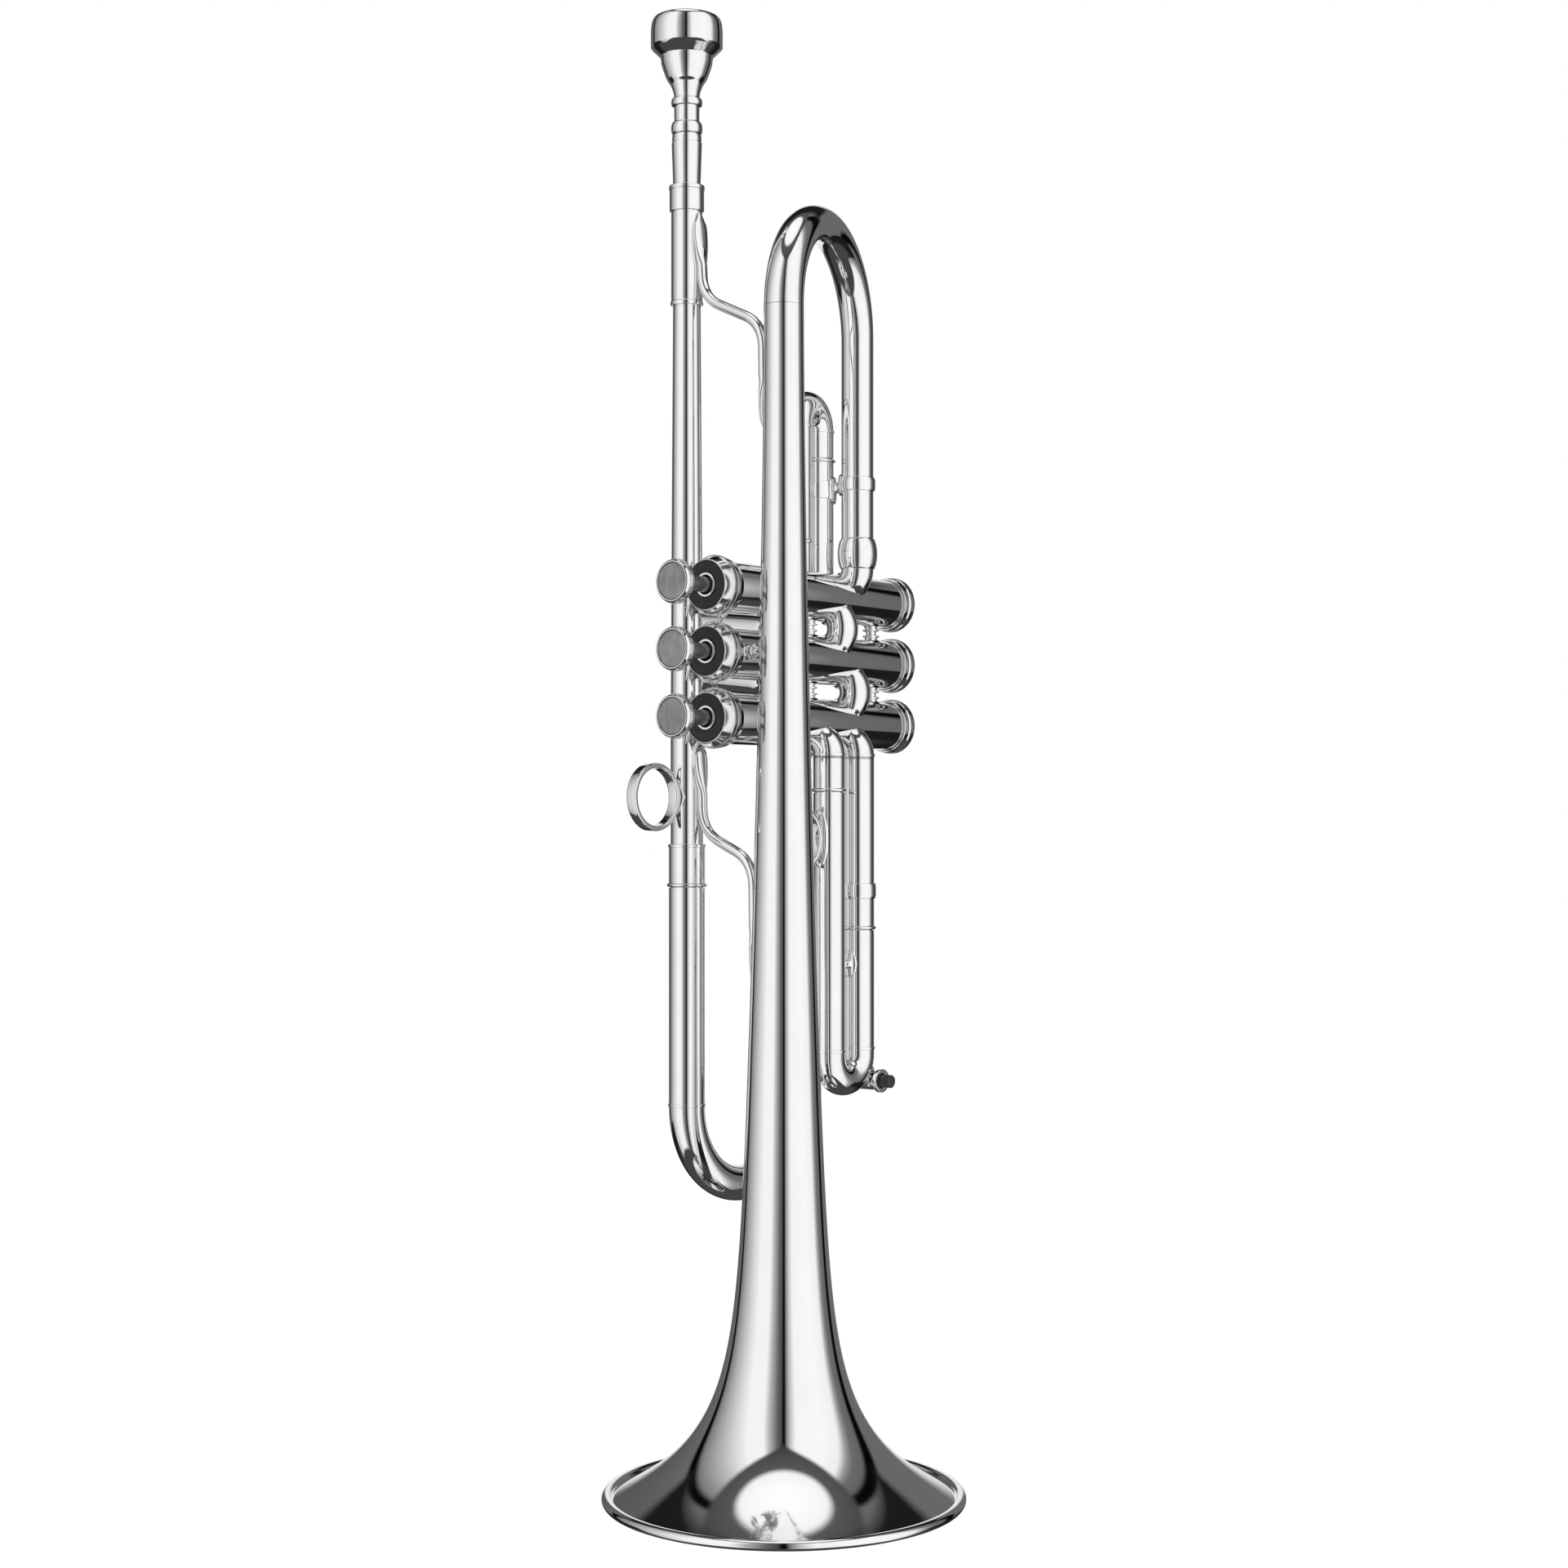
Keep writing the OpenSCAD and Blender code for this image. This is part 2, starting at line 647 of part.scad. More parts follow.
module third_slide_sleeves() {
    color(silver) difference() {
        union() {
            for (y = [third_y, third_b_y])
                at_third(y) translate([0, 0, third_knuckle_z]) near_elbow(-1);
            for (y = [third_y, third_b_y])
                at_third(y) line_ring(third_knuckle_z);
            at_third(third_y) {
                sleeve(sleeve_r, inner_bore_r, third_a_bead_z, third_knuckle_z, [third_a_bead_z + bead_r]);
                pipe(inner_r, inner_bore_r, third_a_bead_z - third_fixed_len, third_a_bead_z + eps);
            }
            at_third(third_b_y)
                sleeve(sleeve_r, sleeve_bore_r, third_b_bead_z, third_knuckle_z, [third_b_bead_z + bead_r]);
        }
        casing_bars(solder_gap);
    }
}

module third_slide() {
    bow_z = third_line_z - 2.4;
    post_z = third_b_bead_z - 13;
    color(silver) {
        at_third(third_y) {
            sleeve(sleeve_r, sleeve_bore_r, bow_z, third_a_bead_z - stop_gap, []);
            line_ring(third_line_z);
        }
        at_third(third_b_y) {
            pipe(inner_r, inner_bore_r, bow_z, third_b_bead_z + third_moving_len);
            pipe(sleeve_r, inner_r - eps, bow_z, third_b_bead_z - stop_gap);
            line_ring(third_line_z);
        }
        at_third(third_mid_y) translate([0, 0, bow_z]) rotate([90, 0, 90]) rotate([0, 0, 180])
            bent_pipe(slide_pitch / 2, sleeve_r, inner_bore_r, 180);
        at_third(third_mid_y) difference() {
            rod([0, -slide_pitch / 2, post_z], [0, slide_pitch / 2, post_z], 2.4);
            for (s = [-1, 1])
                translate([0, s * slide_pitch / 2, post_z - 10]) cylinder(r = sleeve_r - eps, h = 20);
        }
    }
}

// A finger ring with its foot, centred on the origin in the YZ plane
module finger_ring(foot_y, foot_h, tube_r) {
    rotate([0, 90, 0]) difference() {
        translate([0, 0, -ring_w / 2]) cylinder(r = ring_r, h = ring_w);
        translate([0, 0, -ring_w]) cylinder(r = ring_r - ring_t, h = 2 * ring_w);
    }
    difference() {
        translate([-ring_w / 2, foot_y - tube_r - 1.2, -foot_h / 2]) cube([ring_w, 2.4, foot_h]);
        translate([0, foot_y, -foot_h]) cylinder(r = tube_r + solder_gap, h = 2 * foot_h);
        rotate([0, 90, 0]) translate([0, 0, -ring_w]) cylinder(r = ring_r - ring_t / 2, h = 2 * ring_w);
    }
}

module third_slide_ring() {
    color(silver) at_third(third_y - sleeve_r - ring_r) translate([0, 0, third_ring_z])
        finger_ring(sleeve_r + ring_r, 22, sleeve_r);
}

module pinky_ring() {
    color(silver) translate([-leadpipe_x, -leadpipe_large_r - ring_r, pinky_z])
        finger_ring(leadpipe_large_r + ring_r, 14, leadpipe_large_r);
}

// Push-button water keys, standing on the outside of a bow
module key_place(x, y, z, bend, tube_r, angle) {
    reach = bend + tube_r + key_body_r - 0.8;
    translate([x, y + reach * cos(angle), z + reach * sin(angle)]) rotate([0, 90, 0]) children();
}

module third_key_place() {
    key_place(-third_x, third_mid_y, third_line_z - 2.4, slide_pitch / 2, sleeve_r, third_key_angle) children();
}

module main_key_place() {
    key_place(-leadpipe_x, main_pitch / 2, main_line_z, main_pitch / 2, main_r, main_key_angle) children();
}

module key_body() {
    difference() {
        union() {
            translate([0, 0, -key_len / 2]) cylinder(r = key_body_r, h = key_len);
            translate([0, 0, key_len / 2 - 0.2]) cylinder(r = key_body_r + 0.9, h = 1.8);
        }
        translate([0, 0, -key_len / 2 + 1]) cylinder(r = plunger_r + 0.3, h = key_len + 4);
    }
}

module key_plunger() {
    top = key_len / 2 + 1.6 + plunger_travel + 2.2;
    translate([0, 0, -key_len / 2 + 1 + plunger_travel + 0.3])
        cylinder(r = plunger_r, h = top + key_len / 2 - 1 - plunger_travel - 0.3);
}

module bow_bar(pitch, r) {
    rotate_extrude() translate([pitch / 2, 0]) circle(r = r + solder_gap);
}

module third_water_key() {
    color(silver) difference() {
        third_key_place() key_body();
        at_third(third_mid_y) translate([0, 0, third_line_z - 2.4]) rotate([0, 90, 0]) bow_bar(slide_pitch, sleeve_r);
    }
}

module third_key_plunger() {
    color([0.1, 0.1, 0.11]) third_key_place() key_plunger();
}

module main_water_key() {
    color(silver) difference() {
        main_key_place() key_body();
        translate([-leadpipe_x, main_pitch / 2, main_line_z]) rotate([0, 90, 0]) bow_bar(main_pitch, main_r);
    }
}

module main_key_plunger() {
    color([0.1, 0.1, 0.11]) main_key_place() key_plunger();
}

// Main tuning slide
module main_slide_sleeve() {
    color(silver) difference() {
        translate([-leadpipe_x, main_pitch, 0]) {
            sleeve(main_r, main_bore_r, main_line_z + 3, valve_zs[2] - main_knuckle_bend, [main_line_z + 3 + bead_r]);
            pipe(main_r, sleeve_bore_r, valve_zs[2] - main_knuckle_bend - 4, valve_zs[2] - main_knuckle_bend);
            translate([main_knuckle_bend, 0, valve_zs[2] - main_knuckle_bend]) rotate([90, 0, 0]) rotate([0, 0, 90])
                bent_pipe(main_knuckle_bend, sleeve_r, sleeve_bore_r, 90);
        }
        casing_bars(solder_gap);
    }
}

module leadpipe_ferrule() {
    color(silver) translate([-leadpipe_x, 0, 0]) {
        sleeve(main_r, main_inner_bore_r, main_bead_z, ferrule_top_z, [main_bead_z + bead_r, ferrule_top_z - bead_r]);
        pipe(main_inner_r, main_inner_bore_r, main_line_z + 10, main_bead_z + eps);
    }
}

module main_leg(r_in, r_out, z1, flange_z) {
    rotate_extrude() polygon([
        [r_in, main_line_z], [main_r + 0.35, main_line_z], [main_r + 0.35, flange_z],
        [r_out, flange_z], [r_out, z1], [r_in, z1]
    ]);
}

module main_tuning_slide() {
    color(silver) {
        translate([-leadpipe_x, 0, 0])
            main_leg(main_bore_r, main_r, main_bead_z - stop_gap, main_line_z + line_h);
        translate([-leadpipe_x, main_pitch, 0])
            main_leg(main_inner_bore_r, main_inner_r, main_line_z + main_moving_len, main_line_z + 2);
        translate([-leadpipe_x, main_pitch / 2, main_line_z]) rotate([90, 0, 90]) rotate([0, 0, 180])
            bent_pipe(main_pitch / 2, main_r, main_inner_bore_r, 180);
    }
}

// Leadpipe and mouthpiece
module leadpipe() {
    end_z = ferrule_top_z;
    wide_z = end_z + leadpipe_wide_len;
    wall = 0.5;
    color(silver) translate([-leadpipe_x, 0, 0]) rotate_extrude() polygon([
        [leadpipe_large_r, end_z], [leadpipe_large_r, wide_z], [leadpipe_small_r, sleeve_end_z],
        [leadpipe_small_r, leadpipe_top_z], [leadpipe_small_r - wall, leadpipe_top_z],
        [leadpipe_small_r - wall, sleeve_end_z], [leadpipe_large_r - wall, wide_z], [leadpipe_large_r - wall, end_z]
    ]);
}

module leadpipe_sleeve() {
    top = receiver_top_z - receiver_len;
    r = leadpipe_small_r + 0.7;
    color(silver) translate([-leadpipe_x, 0, 0]) difference() {
        union() {
            translate([0, 0, sleeve_end_z]) cylinder(r = r, h = top - sleeve_end_z);
            translate([0, 0, sleeve_end_z]) cylinder(r = r + 0.25, h = 1.6);
        }
        translate([0, 0, sleeve_end_z - 1])
            cylinder(r = leadpipe_small_r + solder_gap, h = leadpipe_top_z - sleeve_end_z + 1);
        translate([0, 0, leadpipe_top_z])
            cylinder(r1 = shank_r(leadpipe_top_z) + shank_gap, r2 = shank_r(top + 1) + shank_gap, h = top + 1 - leadpipe_top_z);
    }
}

module mouthpiece_receiver() {
    z0 = receiver_top_z - receiver_len;
    r = leadpipe_small_r + 1.3;
    color(silver) translate([-leadpipe_x, 0, 0]) difference() {
        union() {
            translate([0, 0, z0]) cylinder(r = r, h = receiver_len);
            translate([0, 0, receiver_top_z - 1.6]) cylinder(r = r + 0.2, h = 1.6);
        }
        translate([0, 0, z0 - 1])
            cylinder(r1 = shank_r(z0 - 1) + shank_gap, r2 = shank_r(receiver_top_z + 1) + shank_gap, h = receiver_len + 2);
    }
}

module mouthpiece() {
    t = mouthpiece_top_z;
    rim_r = rim_d / 2;
    cup_r = cup_d / 2;
    throat_r = throat_d / 2;
    outside = [
        [rim_r - 2.4, t], [rim_r - 1.1, t - 0.7], [rim_r - 0.35, t - 2.2], [rim_r, t - 5], [rim_r, t - 11.2],
        [rim_r - 0.6, t - 11.9], [rim_r - 3.5, t - 14.8], [rim_r - 3.7, t - 15.4], [rim_r - 4.1, t - 18], [rim_r - 5.8, t - 22.6],
        [rim_r - 7.2, t - 24.5], [rim_r - 8.25, t - 27.2], [rim_r - 8.6, t - 29.3],
        [5.5, t - 29.8], [5.77, t - 31.4], [5.5, t - 33], [4.65, t - 33.2], [4.65, t - 38.4],
        [5.5, t - 38.8], [5.8, t - 40.9], [5.5, t - 43.1], [5.2, t - 43.3], [5.45, t - 44.7], [5.3, t - 46.1]
    ];
    inside = [
        [throat_r, t - cup_depth - 8], [throat_r, t - cup_depth - 3], [throat_r + 0.7, t - cup_depth - 1.2],
        [throat_r + 2.6, t - cup_depth + 0.5], [throat_r + 4.6, t - cup_depth + 3], [cup_r - 0.7, t - cup_depth + 6],
        [cup_r, t - 1.6], [cup_r + 0.5, t - 0.7], [cup_r + 1.5, t - 0.1]
    ];
    color(silver) translate([-leadpipe_x, 0, 0]) rotate_extrude($fn = 96) polygon(concat(
        outside, [[shank_r(t - 46.5), t - 46.5], [shank_r(shank_end_z), shank_end_z], [shank_r(shank_end_z) - 0.5, shank_end_z]],
        inside
    ));
}

// Posts, clamps and braces
module bell_post() {
    z = valve_zs[1];
    y = cap_clear_y + bell_post_r;
    gap = valve_x - casing_r;
    color(silver) difference() {
        translate([-valve_x + casing_r - 1, y, z]) rotate([0, 90, 0]) turned_post(gap - bell_r(z) + 2, bell_post_r);
        casing_bars(solder_gap);
        translate([0, 0, z - 6]) cylinder(r = bell_r(z - 4) + solder_gap, h = 12);
    }
}

module casing_posts() {
    gap = valve_pitch - casing_d;
    color(silver) difference() {
        for (i = [0:1], y = casing_post_ys)
            translate([-valve_x, y, valve_zs[i + 1] + casing_r - 0.6]) turned_post(gap + 1.2, casing_post_r);
        casing_bars(solder_gap);
    }
}

// A clamp on the return branch, a second on the first slide's outer sleeve, and the post between
module branch_clamp() {
    a = [-branch_x, branch_y, valve_top_z + 43.6];
    b = [first_q[0], first_q[1], valve_top_z + 41.6];
    band_r = sleeve_r + 0.7;
    color(silver) difference() {
        union() {
            translate(a - [0, 0, 3.5]) cylinder(r = band_r, h = 7);
            translate(b - [0, 0, 4]) cylinder(r = band_r, h = 8);
            rod(a, b, 3);
        }
        translate([a[0], a[1], a[2] - 20]) cylinder(r = sleeve_r + solder_gap, h = 40);
        translate([b[0], b[1], b[2] - 20]) cylinder(r = sleeve_r + solder_gap, h = 40);
    }
}

// The brace from the third slide's outer sleeve to the main slide's fixed sleeve
module slide_brace() {
    z = third_b_bead_z + 14.8;
    a = [-third_x, third_b_y, z];
    b = [-leadpipe_x, main_pitch, z];
    color(silver) difference() {
        union() {
            translate(a - [0, 0, 3.5]) cylinder(r = sleeve_r + 0.7, h = 7);
            translate(b - [0, 0, 3.5]) cylinder(r = main_r + 0.7, h = 7);
            rod(a, b, 2.6);
        }
        translate([a[0], a[1], z - 20]) cylinder(r = sleeve_r + solder_gap, h = 40);
        translate([b[0], b[1], z - 20]) cylinder(r = main_r + solder_gap, h = 40);
    }
}

// A bent rod from the leadpipe's side to the bell's side
module bent_brace(joint_z, zs, pipe_r) {
    left = -leadpipe_x + pipe_r + brace_joint_r + solder_gap;
    right = -bell_r(joint_z + zs[3] - brace_joint_r) - brace_joint_r - solder_gap;
    xs = [left, left, right - 1, right];
    path = [for (k = [0:3]) [xs[k], 0, joint_z + zs[k]]];
    for (k = [0:2])
        rod(path[k], path[k + 1], brace_r);
    for (point = path)
        translate(point) sphere(r = brace_joint_r);
}

module upper_brace() {
    color(silver) bent_brace(sleeve_end_z, upper_brace_zs, leadpipe_small_r + 0.95);
}

module lower_brace() {
    color(silver) bent_brace(ferrule_top_z, lower_brace_zs, leadpipe_large_r);
}

bell();
rim_wire();
bell_bow();
bell_ferrule();
bell_knuckle();
valve_casing_1();
valve_casing_2();
valve_casing_3();
valve_crossovers();
top_cap_1();
top_cap_2();
top_cap_3();
bottom_cap_1();
bottom_cap_2();
bottom_cap_3();
cap_felts();
valve_guides();
piston_1();
piston_2();
piston_3();
valve_stem_1();
valve_stem_2();
valve_stem_3();
finger_button_1();
finger_button_2();
finger_button_3();
button_pearl_1();
button_pearl_2();
button_pearl_3();
valve_spring_1();
valve_spring_2();
valve_spring_3();
first_slide_sleeves();
second_slide_sleeves();
third_slide_sleeves();
main_slide_sleeve();
leadpipe();
leadpipe_ferrule();
leadpipe_sleeve();
mouthpiece_receiver();
mouthpiece();
main_tuning_slide();
main_water_key();
main_key_plunger();
first_slide();
thumb_saddle();
second_slide();
third_slide();
third_slide_ring();
third_water_key();
third_key_plunger();
bell_post();
casing_posts();
branch_clamp();
slide_brace();
upper_brace();
lower_brace();
pinky_ring();
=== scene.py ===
import math

import bmesh
import bpy
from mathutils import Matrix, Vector


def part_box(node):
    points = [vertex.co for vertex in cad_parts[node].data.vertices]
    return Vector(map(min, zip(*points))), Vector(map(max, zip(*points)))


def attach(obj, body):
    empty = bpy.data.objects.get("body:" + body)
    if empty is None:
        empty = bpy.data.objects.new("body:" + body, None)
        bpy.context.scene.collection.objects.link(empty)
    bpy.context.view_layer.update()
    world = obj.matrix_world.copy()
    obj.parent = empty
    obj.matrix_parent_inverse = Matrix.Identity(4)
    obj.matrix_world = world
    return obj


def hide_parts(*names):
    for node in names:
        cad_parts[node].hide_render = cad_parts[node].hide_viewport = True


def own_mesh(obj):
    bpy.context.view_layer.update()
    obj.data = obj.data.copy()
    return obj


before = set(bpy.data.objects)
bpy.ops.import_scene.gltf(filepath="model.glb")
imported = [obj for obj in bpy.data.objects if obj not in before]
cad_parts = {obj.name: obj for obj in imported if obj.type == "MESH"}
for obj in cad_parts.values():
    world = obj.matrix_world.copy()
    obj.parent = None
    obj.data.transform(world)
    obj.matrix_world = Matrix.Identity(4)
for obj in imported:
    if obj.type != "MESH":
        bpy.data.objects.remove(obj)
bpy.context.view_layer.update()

mm = 0.001  # the values below are in millimetres and the meshes in metres


class Wire:  # a socket whose arithmetic adds Math nodes
    def __init__(self, tree, socket):
        self.tree = tree
        self.socket = socket

    def math(self, operation, *others):
        node = self.tree.nodes.new("ShaderNodeMath")
        node.operation = operation
        for place, value in enumerate((self,) + others):
            plug(self.tree, value, node.inputs[place])
        return Wire(self.tree, node.outputs[0])

    def backwards(self, operation, other):
        node = self.tree.nodes.new("ShaderNodeMath")
        node.operation = operation
        plug(self.tree, other, node.inputs[0])
        plug(self.tree, self, node.inputs[1])
        return Wire(self.tree, node.outputs[0])

    def clipped(self):  # kept between 0 and 1
        return self.math("MINIMUM", 1.0).math("MAXIMUM", 0.0)


def operator(operation, reflected=False):
    def forwards(self, other):
        return self.math(operation, other)

    def backwards(self, other):
        return self.backwards(operation, other)

    return backwards if reflected else forwards


for mark, operation in (("add", "ADD"), ("sub", "SUBTRACT"), ("mul", "MULTIPLY"), ("truediv", "DIVIDE")):
    setattr(Wire, f"__{mark}__", operator(operation))
    setattr(Wire, f"__r{mark}__", operator(operation, True))
Wire.__pow__ = operator("POWER")
Wire.__gt__ = operator("GREATER_THAN")


def plug(tree, value, socket):
    if isinstance(value, Wire):
        tree.links.new(value.socket, socket)
    else:
        socket.default_value = value


def addNode(tree, kind, settings=None, values=None, out=0):
    node = tree.nodes.new(kind)
    for name, setting in (settings or {}).items():
        if name == "stops":
            ramp = node.color_ramp
            while len(ramp.elements) > 1:
                ramp.elements.remove(ramp.elements[0])
            ramp.elements[0].position = setting[0][0]
            ramp.elements[0].color = setting[0][1]
            for place, colour in setting[1:]:
                ramp.elements.new(place).color = colour
        else:
            setattr(node, name, setting)
    for name, value in (values or {}).items():
        plug(tree, value, node.inputs[name])
    return Wire(tree, node.outputs[out])


def grey(level):
    return (level, level, level, 1.0)


def newMaterial(name, constants):
    material = bpy.data.materials.new(name)
    material.use_nodes = True
    tree = material.node_tree
    shader = tree.nodes["Principled BSDF"]
    for socket, value in constants.items():
        shader.inputs[socket].default_value = value
    place = addNode(tree, "ShaderNodeTexCoord", out=3)
    return material, tree, shader, place


def noise(tree, place, scale, detail=4.0, roughness=0.55):
    return addNode(tree, "ShaderNodeTexNoise", values={
        "Vector": place, "Scale": scale, "Detail": detail, "Roughness": roughness})


def stretched(tree, place, scale):
    return addNode(tree, "ShaderNodeMapping", values={"Vector": place, "Scale": scale})


def mixColour(tree, factor, first, second):
    node = tree.nodes.new("ShaderNodeMix")
    node.data_type = "RGBA"
    plug(tree, factor, node.inputs[0])
    plug(tree, first, node.inputs[6])
    plug(tree, second, node.inputs[7])
    return Wire(tree, node.outputs[2])


def bump(tree, height, strength, distance):
    values = {"Height": height, "Strength": strength, "Distance": distance}
    return addNode(tree, "ShaderNodeBump", values=values)


# Materials
silverLook = {
    "light": (0.93, 0.93, 0.935, 1), "cloud": (0.87, 0.87, 0.88, 1),
    "polish": 0.045, "haze": 0.05, "wave": 0.00004,
}


def makeSilver():
    material, tree, shader, place = newMaterial("silverPlate", {"Metallic": 1.0, "IOR": 1.5})
    cloud = noise(tree, place, 55.0)
    smear = noise(tree, stretched(tree, place, (900.0, 900.0, 160.0)), 1.0, 3.0)
    plug(tree, mixColour(tree, cloud, silverLook["light"], silverLook["cloud"]), shader.inputs["Base Color"])
    plug(tree, silverLook["polish"] + silverLook["haze"] * cloud * smear, shader.inputs["Roughness"])
    plug(tree, bump(tree, noise(tree, place, 38.0, 1.5), 0.35, silverLook["wave"]), shader.inputs["Normal"])
    return material


feltLook = {"dark": (0.008, 0.008, 0.009, 1), "fibre": (0.04, 0.04, 0.042, 1)}


def makeFelt():
    material, tree, shader, place = newMaterial("blackFelt", {"Roughness": 0.95, "Sheen Weight": 0.25})
    fibres = noise(tree, stretched(tree, place, (2600.0, 5200.0, 3100.0)), 1.0, 5.0, 0.7)
    tufts = noise(tree, place, 900.0, 3.0)
    colour = mixColour(tree, fibres * tufts * 1.6, feltLook["dark"], feltLook["fibre"])
    plug(tree, colour, shader.inputs["Base Color"])
    plug(tree, bump(tree, fibres + tufts, 0.9, 0.0002), shader.inputs["Normal"])
    return material


pearlLook = {"deep": (0.14, 0.145, 0.15, 1), "mid": (0.2, 0.205, 0.21, 1), "glow": (0.34, 0.345, 0.35, 1)}


def makePearl():
    constants = {"Coat Weight": 0.7, "Coat Roughness": 0.06, "IOR": 1.5}
    material, tree, shader, place = newMaterial("greyPearl", constants)
    drift = noise(tree, stretched(tree, place, (90.0, 90.0, 190.0)), 1.0, 3.0)
    streak = noise(tree, stretched(tree, place, (420.0, 420.0, 110.0)), 1.0, 4.0, 0.6)
    first = mixColour(tree, (streak * 1.8 - 0.4).math("MAXIMUM", 0.0), pearlLook["deep"], pearlLook["mid"])
    colour = mixColour(tree, (drift * streak * 2.4 - 0.3).math("MAXIMUM", 0.0), first, pearlLook["glow"])
    plug(tree, colour, shader.inputs["Base Color"])
    plug(tree, 0.2 + 0.2 * drift, shader.inputs["Roughness"])
    plug(tree, bump(tree, streak, 0.12, 0.00002), shader.inputs["Normal"])
    return material


def makeTurned(name, light, dark, rough, grain):  # turned or drawn metal, with fine rings
    material, tree, shader, place = newMaterial(name, {"Metallic": 1.0})
    rings = noise(tree, stretched(tree, place, (220.0, 9000.0, 220.0)), 1.0, 2.0)
    plug(tree, mixColour(tree, rings, light, dark), shader.inputs["Base Color"])
    plug(tree, rough + 0.2 * rings, shader.inputs["Roughness"])
    plug(tree, bump(tree, rings, 0.4, grain), shader.inputs["Normal"])
    return material


def makeMoulded(name, colour, edge, rough):
    material, tree, shader, place = newMaterial(name, {"Specular IOR Level": 0.5})
    speck = noise(tree, place, 2400.0, 2.0)
    plug(tree, mixColour(tree, speck, colour, edge), shader.inputs["Base Color"])
    plug(tree, rough + 0.15 * speck, shader.inputs["Roughness"])
    plug(tree, bump(tree, speck, 0.25, 0.00004), shader.inputs["Normal"])
    return material


def makeFloor():
    material, tree, shader, place = newMaterial("paleFloor", {"Roughness": 0.9, "Emission Strength": 0.62})
    shade = noise(tree, place, 3.0, 3.0)
    plug(tree, mixColour(tree, shade, (0.93, 0.93, 0.93, 1), (0.9, 0.9, 0.9, 1)), shader.inputs["Base Color"])
    shader.inputs["Emission Color"].default_value = (1, 1, 1, 1)
    return material


silver = makeSilver()
felt = makeFelt()
pearl = makePearl()
stemSteel = makeTurned("stemSteel", (0.6, 0.6, 0.61, 1), (0.42, 0.42, 0.43, 1), 0.3, 0.00002)
pistonMetal = makeTurned("pistonMetal", (0.74, 0.73, 0.69, 1), (0.6, 0.6, 0.57, 1), 0.24, 0.00002)
springSteel = makeTurned("springSteel", (0.62, 0.62, 0.6, 1), (0.45, 0.45, 0.44, 1), 0.28, 0.00001)
nylon = makeMoulded("guideNylon", (0.8, 0.79, 0.75, 1), (0.7, 0.69, 0.66, 1), 0.45)
blackButton = makeMoulded("blackButton", (0.02, 0.02, 0.022, 1), (0.05, 0.05, 0.052, 1), 0.3)
print("materials made")


# Places, from the parts' boxes in model.glb
def boxOf(node):
    low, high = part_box(node)
    return [value / mm for value in low], [value / mm for value in high]


def middleOf(node):
    low, high = boxOf(node)
    return [(a + b) / 2 for a, b in zip(low, high)]


casingLow, casingHigh = boxOf("valve_casing_1")
valveX = middleOf("valve_casing_1")[0]
valveZs = [middleOf(f"valve_casing_{n}")[2] for n in (1, 2, 3)]
casingR = (casingHigh[0] - casingLow[0]) / 2
casingY = (casingLow[1], casingHigh[1])  # from the button end to the far end
bellHigh = boxOf("bell")[1]
mouthR = bellHigh[0]
bowStart = bellHigh[2]
ferruleLow, ferruleHigh = boxOf("bell_ferrule")
branchX, branchY = middleOf("bell_ferrule")[:2]
pipeX, pipeY = middleOf("leadpipe")[:2]
leadLow, leadHigh = boxOf("leadpipe")
sleeveR = 6.15
tubeWall = 0.5
boreR = sleeveR - tubeWall
innerR = boreR - 0.05
innerBore = innerR - tubeWall
smooth = 30.0  # faces that meet at a sharper angle than this, in degrees, keep an edge


# Mesh making
def finishMesh(name, mesh, body, material, nodes, angle=smooth):
    obj = bpy.data.objects.new(name, mesh)
    bpy.context.scene.collection.objects.link(obj)
    mesh.materials.clear()
    mesh.materials.append(material)
    for face in mesh.polygons:
        face.use_smooth = True
    mesh.set_sharp_from_angle(angle=math.radians(angle))
    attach(obj, body)
    if nodes:
        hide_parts(*nodes)
    return obj


def meshFrom(name, points, faces):
    mesh = bpy.data.meshes.new(name)
    mesh.from_pydata([[c * mm for c in p] for p in points], [], faces)
    work = bmesh.new()
    work.from_mesh(mesh)
    bmesh.ops.remove_doubles(work, verts=work.verts, dist=1e-6)
    bmesh.ops.dissolve_degenerate(work, edges=work.edges, dist=1e-7)
    bmesh.ops.recalc_face_normals(work, faces=work.faces)
    work.to_mesh(mesh)
    work.free()
    return mesh


def joined(name, parts):  # one mesh from lists of (points, faces)
    points, faces = [], []
    for partPoints, partFaces in parts:
        start = len(points)
        points += partPoints
        faces += [[start + k for k in face] for face in partFaces]
    return meshFrom(name, points, faces)


def softened(profile, radius, steps=4, closed=False):
    count = len(profile)
    out = []
    for k, here in enumerate(profile):
        if not closed and k in (0, count - 1):
            out.append(here)
            continue
        before, after = Vector(profile[k - 1]), Vector(profile[(k + 1) % count])
        corner = Vector(here)
        a, b = before - corner, after - corner
        if a.length < 1e-6 or b.length < 1e-6:
            continue
        reach = min(radius, 0.45 * a.length, 0.45 * b.length)
        start, end = corner + a.normalized() * reach, corner + b.normalized() * reach
        for s in range(steps + 1):
            t = s / steps
            point = start * (1 - t) ** 2 + corner * 2 * t * (1 - t) + end * t ** 2
            out.append((point.x, point.y))
    return out


def frameOf(axis):
    up = Vector(axis).normalized()
    side = up.orthogonal().normalized()
    return up, side, up.cross(side)


